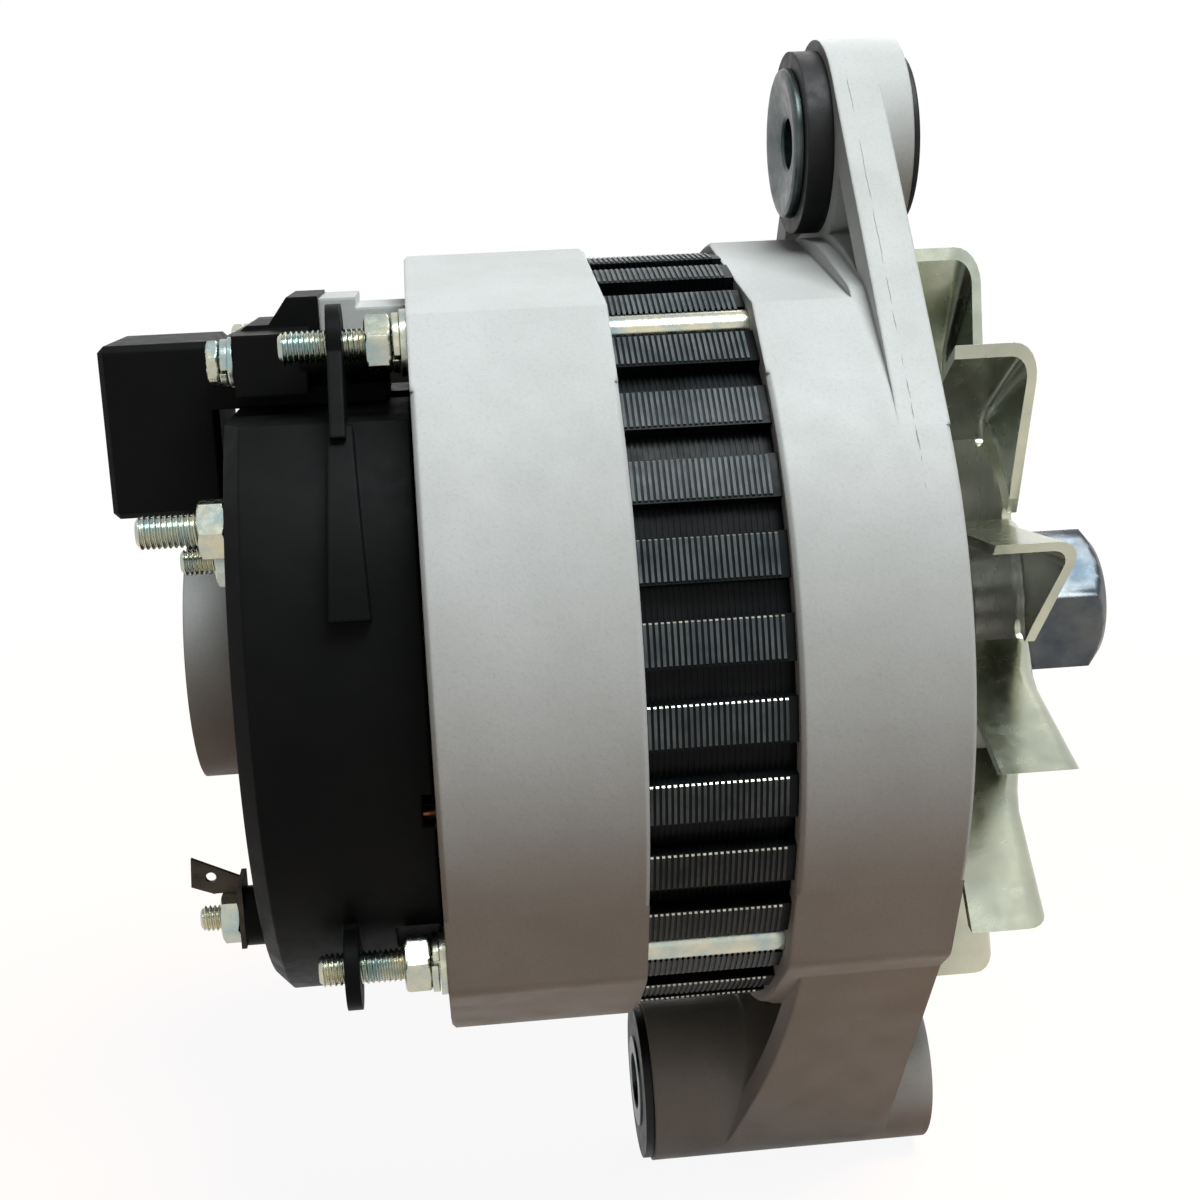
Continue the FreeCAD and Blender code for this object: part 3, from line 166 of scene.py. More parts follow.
# finishes, one per material slot of the record
# low and high are the two colours between which the surface drifts; grain rows are (scale, depth mm, stretch)
finishes = {
    "cast_aluminium": {
        "low": (0.53, 0.54, 0.52), "high": (0.62, 0.63, 0.615), "driftScale": 26, "metallic": 0.03,
        "speck": (0.27, 0.26, 0.235), "speckScale": 2100, "speckAmount": 0.22, "speckSpan": (0.5, 0.8),
        "roughness": (0.48, 0.62), "glossScale": 160, "edge": 0.7, "specular": 0.16,
        "grain": [(2600, 0.018, None), (620, 0.022, None), (75, 0.06, None)],
    },
    "lamination_steel": {
        "low": (0.003, 0.004, 0.0045), "high": (0.009, 0.011, 0.012), "driftScale": 140, "metallic": 0.02,
        "roughness": (0.26, 0.42), "glossScale": 500, "specular": 0.08,
        "grain": [(900, 0.015, None), (200, 0.02, (4, 1, 1))],
    },
    "copper_wire": {
        "low": (0.33, 0.10, 0.035), "high": (0.55, 0.21, 0.07), "driftScale": 220, "metallic": 0.85,
        "roughness": (0.22, 0.40), "glossScale": 600, "coat": 0.5, "grain": [(700, 0.03, None)],
    },
    "zinc_steel": {
        "low": (0.30, 0.39, 0.39), "high": (0.56, 0.53, 0.39), "driftScale": 170, "metallic": 1.0,
        "roughness": (0.18, 0.32), "glossScale": 900, "edge": 0.2,
        "grain": [(1500, 0.006, None), (240, 0.008, (1, 1, 5))],
    },
    "fan_steel": {
        "low": (0.31, 0.345, 0.29), "high": (0.55, 0.56, 0.43), "driftScale": 55, "metallic": 1.0,
        "roughness": (0.19, 0.30), "glossScale": 260, "driftSpan": (0.25, 0.75),
        "grain": [(1300, 0.005, None), (140, 0.02, (1, 1, 3))],
    },
    "black_plastic": {
        "low": (0.0030, 0.0034, 0.0036), "high": (0.0065, 0.0068, 0.0066), "driftScale": 55, "metallic": 0.0,
        "roughness": (0.38, 0.52), "glossScale": 300, "edge": 0.6, "specular": 0.055,
        "grain": [(1700, 0.012, None), (120, 0.03, None)],
    },
    "holder_plastic": {
        "low": (0.035, 0.02, 0.012), "high": (0.06, 0.034, 0.02), "driftScale": 120, "metallic": 0.0,
        "roughness": (0.38, 0.5), "glossScale": 400, "edge": 0.3, "grain": [(1500, 0.015, None)],
    },
    "carbon": {
        "low": (0.018, 0.018, 0.019), "high": (0.05, 0.05, 0.052), "driftScale": 900, "metallic": 0.3,
        "roughness": (0.4, 0.6), "glossScale": 900, "grain": [(2600, 0.03, None)],
    },
    "spring_steel": {
        "low": (0.36, 0.37, 0.38), "high": (0.5, 0.5, 0.49), "driftScale": 500, "metallic": 1.0,
        "roughness": (0.22, 0.34), "glossScale": 900, "grain": [(2000, 0.01, None)],
    },
    "rubber": {
        "low": (0.0045, 0.0048, 0.0055), "high": (0.010, 0.010, 0.010), "driftScale": 160, "metallic": 0.0,
        "roughness": (0.42, 0.6), "glossScale": 420, "specular": 0.25, "edge": 0.6,
        "grain": [(1400, 0.03, None), (260, 0.05, None)],
    },
    "plate_aluminium": {
        "low": (0.52, 0.52, 0.53), "high": (0.66, 0.66, 0.65), "driftScale": 80, "metallic": 1.0,
        "roughness": (0.3, 0.42), "glossScale": 500, "edge": 0.2, "grain": [(900, 0.02, (1, 6, 1))],
    },
    "diode_metal": {
        "low": (0.48, 0.46, 0.40), "high": (0.62, 0.60, 0.54), "driftScale": 300, "metallic": 1.0,
        "roughness": (0.22, 0.34), "glossScale": 700, "edge": 0.4, "grain": [(1600, 0.01, None)],
    },
    "insulator": {
        "low": (0.34, 0.26, 0.16), "high": (0.46, 0.37, 0.24), "driftScale": 260, "metallic": 0.0,
        "roughness": (0.45, 0.6), "glossScale": 600, "edge": 0.2, "grain": [(1300, 0.02, None)],
    },
    "brass": {
        "low": (0.52, 0.37, 0.13), "high": (0.66, 0.49, 0.2), "driftScale": 300, "metallic": 1.0,
        "roughness": (0.2, 0.34), "glossScale": 800, "edge": 0.15, "grain": [(1500, 0.015, (6, 1, 1))],
    },
    "slip_copper": {
        "low": (0.52, 0.25, 0.12), "high": (0.68, 0.38, 0.2), "driftScale": 300, "metallic": 1.0,
        "roughness": (0.14, 0.3), "glossScale": 900, "grain": [(1400, 0.015, (9, 1, 1))],
    },
    "bearing_steel": {
        "low": (0.58, 0.59, 0.61), "high": (0.68, 0.69, 0.70), "driftScale": 400, "metallic": 1.0,
        "roughness": (0.1, 0.2), "glossScale": 900, "grain": [(1700, 0.006, (8, 1, 1))],
    },
    "cage_steel": {
        "low": (0.42, 0.42, 0.42), "high": (0.55, 0.54, 0.52), "driftScale": 300, "metallic": 1.0,
        "roughness": (0.26, 0.4), "glossScale": 600, "grain": [(1500, 0.012, None)],
    },
    "shaft_steel": {
        "low": (0.40, 0.41, 0.43), "high": (0.53, 0.53, 0.53), "driftScale": 260, "metallic": 1.0,
        "roughness": (0.18, 0.32), "glossScale": 700, "edge": 0.3, "grain": [(1300, 0.012, (10, 1, 1))],
    },
    "pole_iron": {
        "low": (0.055, 0.052, 0.05), "high": (0.14, 0.13, 0.125), "driftScale": 150, "metallic": 0.7,
        "roughness": (0.36, 0.55), "glossScale": 320, "edge": 0.5,
        "grain": [(1100, 0.03, None), (300, 0.05, (5, 1, 1))],
    },
    "coil_wrap": {
        "low": (0.20, 0.07, 0.02), "high": (0.34, 0.14, 0.045), "driftScale": 200, "metallic": 0.2,
        "roughness": (0.3, 0.46), "glossScale": 500, "coat": 0.4, "grain": [(500, 0.12, (3, 1, 1))],
    },
    "bobbin_plastic": {
        "low": (0.52, 0.48, 0.38), "high": (0.62, 0.58, 0.48), "driftScale": 120, "metallic": 0.0,
        "roughness": (0.42, 0.55), "glossScale": 400, "edge": 0.3, "grain": [(1200, 0.015, None)],
    },
    "nut_steel": {
        "low": (0.042, 0.055, 0.068), "high": (0.105, 0.112, 0.112), "driftScale": 90, "metallic": 1.0,
        "roughness": (0.24, 0.38), "glossScale": 500, "edge": 0.6,
        "grain": [(1200, 0.008, None), (260, 0.012, (1, 1, 4))],
    },
    "blade_tin": {
        "low": (0.018, 0.015, 0.011), "high": (0.05, 0.042, 0.03), "driftScale": 300, "metallic": 0.8,
        "roughness": (0.3, 0.5), "glossScale": 600, "edge": 0.15, "grain": [(1400, 0.02, None)],
    },
}
finishOf = {name: makeFinish(name, look) for name, look in finishes.items()}
for entry in frame["record"]["subparts"]:
    solid = frame["nodes"][entry["node"]]
    finish = finishOf[entry["material_slot"]]
    for place in solid.material_slots:
        place.material = finish
    if not solid.material_slots:
        solid.data.materials.append(finish)
print("finishes made", len(finishOf))

# mesh helpers
edgeBevel = {"segments": 2, "angle": 40.0}


def softenEdges(piece, width):
    bevel = piece.modifiers.new("edges", "BEVEL")
    bevel.width = width / 1000
    bevel.segments = edgeBevel["segments"]
    bevel.limit_method = "ANGLE"
    bevel.angle_limit = radians(edgeBevel["angle"])


def addPiece(name, points, faces, slot, body, replaced=(), sharp=35.0, bevel=0.0, extra=(), marks=None):
    mesh = bpy.data.meshes.new(name)
    mesh.from_pydata(points, [], faces)
    mesh.validate()
    mesh.update()
    piece = bpy.data.objects.new(name, mesh)
    bpy.context.scene.collection.objects.link(piece)
    mesh.materials.append(finishOf[slot])
    for other in extra:
        mesh.materials.append(other)
    if marks:
        for index, mark in enumerate(marks):
            mesh.polygons[index].material_index = mark
    for face in mesh.polygons:
        face.use_smooth = True
    mesh.set_sharp_from_angle(angle=radians(sharp))
    if bevel:
        softenEdges(piece, bevel)
    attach(piece, body)
    for nodeName in replaced:
        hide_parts(nodeName)
    return piece


def joinShapes(shapes):
    points, faces = [], []
    for shapePoints, shapeFaces in shapes:
        start = len(points)
        points += shapePoints
        faces += [[start + i for i in face] for face in shapeFaces]
    return points, faces


def skinRows(rows, size, closed=True):
    # faces between successive rings of size points, with a lid on each end if closed
    faces = []
    for i in range(rows - 1):
        for j in range(size):
            n = (j + 1) % size
            faces.append([i * size + j, i * size + n, (i + 1) * size + n, (i + 1) * size + j])
    if closed:
        last = (rows - 1) * size
        faces.append(list(reversed(range(size))))
        faces.append([last + j for j in range(size)])
    return faces


def lathe(stations, radiusAt, centre, sides, closed=True):
    # surface round an axis along X; radiusAt(x, angle) gives its radius
    points = []
    for x in stations:
        for i in range(sides):
            angle = 2 * pi * i / sides
            radius = radiusAt(x, angle)
            points.append(spot(x, centre[0] + radius * cos(angle), centre[1] + radius * sin(angle)))
    return points, skinRows(len(stations), sides, closed)


def ringShape(profile, centre, sides):
    # closed profile of (x, radius) turned round an axis along X
    points, faces = [], []
    count = len(profile)
    for i in range(sides):
        angle = 2 * pi * i / sides
        for x, radius in profile:
            points.append(spot(x, centre[0] + radius * cos(angle), centre[1] + radius * sin(angle)))
    for i in range(sides):
        k = (i + 1) % sides
        for j in range(count):
            n = (j + 1) % count
            faces.append([i * count + j, i * count + n, k * count + n, k * count + j])
    return points, faces


def tubePath(path, radius, sides):
    # round strand along a list of points in metres
    points = []
    across = None
    for i, here in enumerate(path):
        ahead = path[min(i + 1, len(path) - 1)]
        behind = path[max(i - 1, 0)]
        run = (ahead - behind).normalized()
        if across is None:
            across = run.orthogonal().normalized()
        across = (across - run * across.dot(run)).normalized()
        other = run.cross(across)
        for k in range(sides):
            angle = 2 * pi * k / sides
            points.append(here + (across * cos(angle) + other * sin(angle)) * radius / 1000)
    return points, skinRows(len(path), sides)


def steps(low, high, size):
    count = max(1, int(round((high - low) / size)))
    return [low + (high - low) * i / count for i in range(count + 1)]


# threads: crest and flank are shares of half a turn, the tip starts with a cut cone
threadForm = {"crest": 0.12, "flank": 0.76, "leadSlope": 1.1, "leadStart": 0.1, "rowsPerTurn": 8}


def threadAt(x, angle, look):
    phase = (x / look["pitch"] - angle / (2 * pi)) % 1.0
    tooth = abs(2 * phase - 1)
    fall = min(1.0, max(0.0, (tooth - threadForm["crest"]) / threadForm["flank"]))
    return look["radius"] - look["depth"] * fall


def threadedShank(look, tip, end, place):
    # thread from the tip to threadEnd, plain shank behind it
    def radiusAt(x, angle):
        if x < look["threadEnd"]:
            lead = look["radius"] - look["tipCut"] + (x - tip) * threadForm["leadSlope"]
            return min(threadAt(x, angle, look), lead)
        return look["radius"] - look["shankCut"]

    rowStep = look["pitch"] / threadForm["rowsPerTurn"]
    rows = [tip] + steps(tip + threadForm["leadStart"], look["threadEnd"], rowStep)
    rows += [look["threadEnd"] + look["shoulder"], end]
    return lathe(rows, radiusAt, place, look["sides"])


# hexagons whose corners are turned off by a shallow cone at both ends; a row nearer than touch lies on an end
hexForm = {
    "dropShare": 0.75, "rows": (0.0, 0.5, 1.0, 1.4), "rim": 0.075, "cone": 0.955, "endCone": 0.93,
    "slope": 1.75, "touch": 0.001,
}


def hexRadius(flats, angle, turn):
    sector = pi / 3
    folded = (angle - radians(turn)) % sector - sector / 2
    return flats / 2 / cos(folded)


def hexCap(low, high, flats, turn, centre, sides):
    drop = (flats / sqrt(3) - flats / 2) * hexForm["dropShare"]
    stations = [low + drop * share for share in hexForm["rows"]]
    stations += [high - drop * share for share in reversed(hexForm["rows"][1:])]
    stations += [high - hexForm["rim"], high]

    def radiusAt(x, angle):
        inset = min(x - low, high - x)
        cone = flats / 2 * hexForm["cone"] + inset * hexForm["slope"]
        if inset < hexForm["touch"]:
            cone = flats / 2 * hexForm["endCone"]
        return min(hexRadius(flats, angle, turn), cone)

    return lathe(stations, radiusAt, centre, sides)


# through bolts with rolled threads, screwed into the front bracket
boltCircle = {"radius": 61.0, "angles": (60.6, -38.4, -119.4, -218.4)}
bolt = {
    "tip": -19.0, "threadEnd": -2.0, "shoulder": 0.3, "end": 75.5, "radius": 2.5, "pitch": 0.8, "depth": 0.46,
    "tipCut": 0.75, "shankCut": 0.04, "sides": 30,
}
boltPlaces = [polar(boltCircle["radius"], angle) for angle in boltCircle["angles"]]
shapes = [threadedShank(bolt, bolt["tip"], bolt["end"], place) for place in boltPlaces]
addPiece("bolts", *joinShapes(shapes), "zinc_steel", "housing", ["through_bolts"])
print("bolts made")

# nuts on the bolts
boltNut = {"outer": -6.3, "inner": -2.3, "flats": 8.0, "turn": 42.0, "sides": 72}
shapes = [hexCap(boltNut["outer"], boltNut["inner"], boltNut["flats"], boltNut["turn"], place,
                 boltNut["sides"]) for place in boltPlaces]
addPiece("boltNuts", *joinShapes(shapes), "zinc_steel", "housing", ["through_bolt_nuts"])

# split spring washers, each ring opened and twisted a little
springWasher = {
    "inner": 2.6, "outer": 4.5, "thick": 1.05, "gap": 9.0, "twist": 0.24, "steps": 44, "edge": 0.12,
    "openings": (205.0, 160.0, 250.0, 30.0),
}


def splitRing(low, centre, opening, inner, outer):
    thick, gap, count = springWasher["thick"], springWasher["gap"], springWasher["steps"]
    section = ((0, inner), (0, outer), (thick, outer), (thick, inner))
    points = []
    for i in range(count + 1):
        angle = radians(opening + gap / 2 + (360 - gap) * i / count)
        x = low + springWasher["twist"] * i / count
        for dx, radius in section:
            points.append(spot(x + dx, centre[0] + radius * cos(angle), centre[1] + radius * sin(angle)))
    return points, skinRows(count + 1, len(section))


shapes = [splitRing(boltNut["inner"], place, opening, springWasher["inner"], springWasher["outer"])
          for place, opening in zip(boltPlaces, springWasher["openings"])]
addPiece("splitWashers", *joinShapes(shapes), "zinc_steel", "housing", ["spring_washers"],
         bevel=springWasher["edge"])

# regulator screws: hexagon heads with split washers and flat washers under them
regulatorScrew = {
    "y": 19.5, "z": 50.7, "headLow": -30.7, "headHigh": -28.8, "flats": 6.4, "turn": 15.0, "headSides": 60,
    "shankLow": -28.9, "shankHigh": 3.0, "shankR": 1.98, "shankSides": 24,
}
regulatorWasher = {
    "low": -27.5, "high": -26.5, "inner": 2.0, "outer": 3.9, "ease": 0.15, "sides": 40,
    "splitLow": -28.75, "splitInner": 2.05, "splitOuter": 3.6, "opening": 200.0, "edge": 0.1,
}


def flatWasher(look, place):
    low, high, ease = look["low"], look["high"], look["ease"]
    inner, outer = look["inner"], look["outer"]
    profile = [(low, inner), (low, outer - ease), (low + ease, outer)]
    profile += [(high - ease, outer), (high, outer - ease), (high, inner)]
    return ringShape(profile, place, look["sides"])


washerShapes, screwShapes = [], []
for side in (-1, 1):
    place = (side * regulatorScrew["y"], regulatorScrew["z"])
    washerShapes.append(flatWasher(regulatorWasher, place))
    washerShapes.append(splitRing(regulatorWasher["splitLow"], place, regulatorWasher["opening"],
                                  regulatorWasher["splitInner"], regulatorWasher["splitOuter"]))
    screwShapes.append(hexCap(regulatorScrew["headLow"], regulatorScrew["headHigh"], regulatorScrew["flats"],
                              regulatorScrew["turn"] * side, place, regulatorScrew["headSides"]))
    screwShapes.append(lathe([regulatorScrew["shankLow"], regulatorScrew["shankHigh"]],
                             lambda x, angle: regulatorScrew["shankR"], place, regulatorScrew["shankSides"]))
addPiece("screwWashers", *joinShapes(washerShapes), "zinc_steel", "housing", ["regulator_washers"],
         bevel=regulatorWasher["edge"])
addPiece("regulatorScrews", *joinShapes(screwShapes), "zinc_steel", "housing", ["regulator_screws"])
print("washers and screws made")

# terminal studs: free thread outside the nut, plain core inside, head against the plate
studForm = {
    "depth": 0.4, "tipCut": 0.65, "shankCut": 0.2, "shoulder": 0.1, "shankStop": 2.7, "sides": 28,
    "headTurn": 30, "headSides": 48,
}
terminals = [
    {"name": "outputStud", "node": "output_stud", "at": polar(49.1, 35.5), "radius": 2.5, "pitch": 0.8,
     "threadEnd": -31.0, "flats": 8.0, "headThick": 3.2},
    {"name": "exciterStud", "node": "exciter_stud", "at": polar(40.0, 34.3), "radius": 2.0, "pitch": 0.7,
     "threadEnd": -29.9, "flats": 7.0, "headThick": 2.6},
    {"name": "phaseStud", "node": "phase_stud", "at": polar(48.8, -42.5), "radius": 2.0, "pitch": 0.7,
     "threadEnd": -33.5, "flats": 7.0, "headThick": 2.6},
]
for terminal in terminals:
    look = {**studForm, **terminal}
    tip, headEnd = stationsOf(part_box(look["node"]))
    shapes = [threadedShank(look, tip, headEnd - look["shankStop"], look["at"])]
    shapes.append(hexCap(headEnd - look["headThick"], headEnd, look["flats"], look["headTurn"], look["at"],
                         look["headSides"]))
    addPiece(look["name"], *joinShapes(shapes), "zinc_steel", "housing", [look["node"]])
print("studs made")

# stator laminations: one plate every 0.85 mm, a painted highlight of lighter steel on the upper corner of
# each ridge
laminations = {
    "start": 29.9, "end": 51.0, "pitch": 0.845, "thick": 0.44, "proud": 0.22, "chamfer": 0.42, "ridges": 34,
    "ridgeR": 63.2, "valleyR": 60.6, "innerR": 58.6, "valleyStart": 58.9, "valleyAngle": 4.5, "sharp": 20,
}
# lighter steel for the ridges' upper corners: a painted highlight where the light from above falls
paintedCornerHighlight = makeFinish("paintedCornerHighlight", {
    "low": (0.26, 0.26, 0.22), "high": (0.58, 0.57, 0.49), "driftScale": 420, "metallic": 0.7,
    "roughness": (0.22, 0.4), "glossScale": 900, "driftSpan": (0.3, 0.7), "grain": [(1800, 0.02, None)],
})
paintedEdge = makeFinish("paintedEdge", {
    "low": (0.050, 0.062, 0.070), "high": (0.150, 0.170, 0.172), "driftScale": 180, "metallic": 0.04,
    "roughness": (0.26, 0.42), "specular": 0.07, "glossScale": 700, "driftSpan": (0.3, 0.7),
    "grain": [(1500, 0.012, None)],
})
plainFace, highlightFace, paintedFace = 0, 1, 2


def laminationOutline(look):
    # (y, z, mark) round one plate; mark is the finish of the rim face that starts at this point
    outline = []
    pitch = 360.0 / look["ridges"]
    top, floor = look["ridgeR"] + look["proud"], look["valleyR"] + look["proud"]
    cut = look["chamfer"]
    for i in range(look["ridges"]):
        angle = look["valleyStart"] + pitch * i
        half = look["valleyAngle"] / 2
        low, high = angle + half, angle + pitch - half
        turn = degrees(cut / top)
        # nearSide puts the painted highlight on each ridge's upper corner: the high angle on the near side,
        # the low angle on the far side
        nearSide = cos(radians((low + high) / 2)) > 0
        outline.append((floor, angle - half, plainFace))
        outline.append((floor, low, plainFace))
        outline.append((top - cut, low, plainFace if nearSide else highlightFace))
        outline.append((top, low + turn, paintedFace))
        outline.append((top, (low + high) / 2, paintedFace))
        outline.append((top, high - turn, highlightFace if nearSide else plainFace))
        outline.append((top - cut, high, plainFace))
    return [(*polar(radius, angle), mark) for radius, angle, mark in outline]


def laminationStack(look):
    outline = laminationOutline(look)
    points, faces, marks = [], [], []
    count = len(outline)
    plates = int((look["end"] - look["start"]) / look["pitch"])
    for p in range(plates):
        x0 = look["start"] + look["pitch"] * p
        x1 = x0 + look["thick"]
        start = len(points)
        for y, z, mark in outline:
            scale = look["innerR"] / hypot(y, z)
            points += [spot(x0, y, z), spot(x1, y, z)]
            points += [spot(x0, y * scale, z * scale), spot(x1, y * scale, z * scale)]
        for i in range(count):
            a, b = start + i * 4, start + (i + 1) % count * 4
            faces += [[a, b, b + 1, a + 1], [a + 2, b + 2, b, a]]
            faces += [[a + 1, b + 1, b + 3, a + 3], [a + 3, b + 3, b + 2, a + 2]]
            marks += [outline[i][2], plainFace, plainFace, plainFace]
    print("laminations made", plates)
    return points, faces, marks


points, faces, marks = laminationStack(laminations)
addPiece("laminations", points, faces, "lamination_steel", "housing", extra=[paintedCornerHighlight, paintedEdge],
         marks=marks, sharp=laminations["sharp"])

# winding heads: strands that cross the end turns from the inner to the outer layer
# an end is (station at the core, station of its face, side); shares are the places along a strand
winding = {
    "inner": 47.6, "outer": 57.9, "strand": 0.62, "perSlot": 5, "slots": 36, "span": 34.0, "sides": 6,
    "slotPitch": 10.0, "strandPitch": 2.0, "lift": 0.35, "liftPattern": (7, 3, 5), "riseShare": 0.2,
    "crossStart": 0.16, "crossShare": 0.68, "sharp": 60, "ends": ((25.0, 14.1, -1), (55.9, 66.3, 1)),
    "shares": (0.0, 0.08, 0.16, 0.24, 0.34, 0.44, 0.56, 0.66, 0.76, 0.84, 0.92, 1.0),
}


def strandPath(look, start, lift, end):
    core, face, side = end
    path = []
    for share in look["shares"]:
        across = min(1, max(0, (share - look["crossStart"]) / look["crossShare"]))
        radius = look["inner"] + (look["outer"] - look["inner"]) * across
        rise = sin(min(1.0, share / look["riseShare"], (1.0 - share) / look["riseShare"]) * pi / 2)
        x = core + (face + side * lift - core) * rise
        path.append(spot(x, *polar(radius, start + look["span"] * (share - 0.5) * side)))
    return path


shapes = []
strandStep, slotStep, levels = winding["liftPattern"]
for end in winding["ends"]:
    for slotIndex in range(winding["slots"]):
        for strand in range(winding["perSlot"]):
            start = slotIndex * winding["slotPitch"] + strand * winding["strandPitch"]
            level = (strand * strandStep + slotIndex * slotStep) % levels
            path = strandPath(winding, start, winding["lift"] * level / levels, end)
            shapes.append(tubePath(path, winding["strand"], winding["sides"]))
addPiece("windingHeads", *joinShapes(shapes), "copper_wire", "housing", sharp=winding["sharp"])
print("winding heads made", len(shapes))

# ear bush: dished steel disc and sleeve, as (station, radius) from the disc's face and from the sleeve's end
earBush = {
    "disc": ((1.5, 4.1), (1.15, 4.5), (0.95, 5.4), (0.75, 6.6), (0.5, 8.0), (0.22, 9.4), (0.0, 10.6),
             (0.0, 11.1), (0.25, 11.75), (0.7, 12.0), (1.45, 12.0), (1.6, 11.85), (1.6, 7.0)),
    "sleeve": ((-0.4, 7.0), (0.0, 6.6), (0.0, 4.6), (-0.5, 4.1)),
    "sides": 96, "sharp": 28,
}
# darker copy of the steel for the ear disc and the foot sleeve: painted shade and a painted dark reflection
shadedSteel = makeFinish("shadedSteel", {
    "low": (0.035, 0.050, 0.052), "high": (0.09, 0.105, 0.102), "driftScale": 150, "metallic": 1.0,
    "roughness": (0.26, 0.42), "glossScale": 500, "edge": 0.3,
    "grain": [(1500, 0.008, None), (200, 0.012, None)],
})
discFace, sleeveEnd = stationsOf(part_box("ear_bush_sleeve"))
profile = [(discFace + x, radius) for x, radius in earBush["disc"]]
profile += [(sleeveEnd + x, radius) for x, radius in earBush["sleeve"]]
points, faces = ringShape(profile, earCentre, earBush["sides"])
addPiece("earBush", points, faces, "zinc_steel", "housing", ["ear_bush_sleeve"], sharp=earBush["sharp"],
         extra=[shadedSteel], marks=[1] * len(faces))
# the foot sleeve gets the same painted shade
for place in frame["nodes"]["foot_bush_sleeve"].material_slots:
    place.material = shadedSteel
print("ear bush made")

# parting line of the front casting: thin broken flash down the ear's flank and onto the ring
# a dash is (top, bottom, half its width); it wavers and swells by sines of (size, rate)
parting = {
    "x": 71.2, "ringR": 65.0, "earR": 16.3, "proud": 0.09, "sink": 0.3, "step": 0.4, "crest": 0.5,
    "endWidth": 0.25, "endSteps": 3, "waver": ((0.05, 0.9), (0.02, 3.1)), "width": 0.8, "swell": (0.3, 5.1),
    "dashes": ((90.0, 84.5, 0.06), (80.2, 70.8, 0.05), (69.6, 61.6, 0.06), (59.8, 55.9, 0.08),
               (55.0, 52.2, 0.07), (49.0, 47.4, 0.05), (45.8, 43.0, 0.12), (42.6, 40.2, 0.10),
               (39.4, 36.2, 0.19), (35.6, 34.9, 0.12), (32.0, 31.4, 0.06)),
}
partingShade = makeFinish("partingShade", {
    "low": (0.17, 0.17, 0.16), "high": (0.36, 0.36, 0.345), "driftScale": 900, "metallic": 0.2,
    "roughness": (0.5, 0.7), "glossScale": 900, "grain": [(2600, 0.02, None)],
})


def flankPoint(look, z):
    # y on the ear's tangent flank, or on the ring below it, with the outward normal as (y, z)
    lean = acos((look["ringR"] - look["earR"]) / earCentre[1])
    if z > look["ringR"] * cos(lean):
        y = (z * cos(lean) - look["ringR"]) / sin(lean)
        return y, (-sin(lean), cos(lean))
    y = -sqrt(look["ringR"] ** 2 - z * z)
    return y, (y / look["ringR"], z / look["ringR"])


def partingDash(look, high, low, half):
    points = []
    heights = steps(low, high, look["step"])
    last = len(heights) - 1
    for i, z in enumerate(heights):
        y, normal = flankPoint(look, z)
        ease = min(1.0, look["endWidth"] + min(i, last - i) / look["endSteps"])
        waver = sum(size * sin(z * rate) for size, rate in look["waver"])
        across = half * ease * (look["width"] + look["swell"][0] * sin(z * look["swell"][1]))
        inner, top, foot = across * look["crest"], look["proud"] * ease, -look["sink"]
        for dx, rise in ((-across, foot), (-inner, top), (inner, top), (across, foot)):
            points.append(spot(look["x"] + waver + dx, y + normal[0] * rise, z + normal[1] * rise))
    return points, skinRows(len(heights), 4)


points, faces = joinShapes([partingDash(parting, *dash) for dash in parting["dashes"]])
addPiece("partingLine", points, faces, "cast_aluminium", "housing", extra=[partingShade],
         marks=[1] * len(faces))
print("parting line made")

# shaft nut: large hexagon with turned ends, its bore widened at both mouths
shaftNut = {
    "flats": 24.0, "turn": 45.0, "cone": 1.15, "edge": 0.90, "rows": (0.0, 0.5, 1.0, 1.5, 2.0, 2.6),
    "boreR": 7.05, "mouthR": 8.0, "mouthDepth": 1.0, "sides": 120,
}
nutStart, nutEnd = stationsOf(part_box("shaft_nut"))


def nutRadius(x, angle):
    inset = min(x - nutStart, nutEnd - x)
    cone = shaftNut["flats"] / 2 * shaftNut["edge"] + inset * shaftNut["cone"]
    return min(hexRadius(shaftNut["flats"], angle, shaftNut["turn"]), cone)


def nutShape(look):
    # outside rows forward, bore rows back again, and a last row of faces that closes the loop
    outside = [nutStart + inset for inset in look["rows"]]
    outside += [nutEnd - inset for inset in reversed(look["rows"])]
    bore = [(nutEnd, look["mouthR"]), (nutEnd - look["mouthDepth"], look["boreR"]),
            (nutStart + look["mouthDepth"], look["boreR"]), (nutStart, look["mouthR"])]
    sides = look["sides"]
    points = lathe(outside, nutRadius, shaftCentre, sides, closed=False)[0]
    for x, radius in bore:
        for i in range(sides):
            angle = 2 * pi * i / sides
            points.append(spot(x, radius * cos(angle), radius * sin(angle)))
    rows = len(outside) + len(bore)
    faces = skinRows(rows, sides, closed=False)
    last = (rows - 1) * sides
    for i in range(sides):
        k = (i + 1) % sides
        faces.append([last + i, last + k, k, i])
    return points, faces


addPiece("shaftNut", *nutShape(shaftNut), "nut_steel", "rotor", ["shaft_nut"])
print("shaft nut made")

# fan: stamped sheet, each blade folded back over a bend that opens toward its tip
fan = {
    "rimR": 63.5, "rear": 92.5, "front": 94.0, "bladeRear": 80.6, "count": 12, "angle": 21.1, "rootR": 35.0,
    "rootLead": 15.5, "valleyR": 43.0, "valleyLag": 15.5, "rootFold": 2.0, "tipFold": 4.4, "foldSteps": 6,
    "corner": 1.4, "notch": 1.9, "notchSteps": 8, "bore": 8.5, "boreSides": 48, "rows": 8,
    "dish": 1.9, "dishStart": 35.5, "dishPeak": 43.5, "cell": 3.6, "cellTurns": 7, "digits": 3,
    "sharp": 38, "weld": 0.02, "edge": 0.28,
}


def fanDish(look, y, z):
    # how far the pressed disc lies back at this place, deepest at the blades' valleys
    r = sqrt(y * y + z * z)
    rise = (r - look["dishStart"]) / (look["dishPeak"] - look["dishStart"])
    fall = (look["rimR"] - r) / (look["rimR"] - look["dishPeak"])
    return look["dish"] * max(0.0, min(1.0, rise, fall))


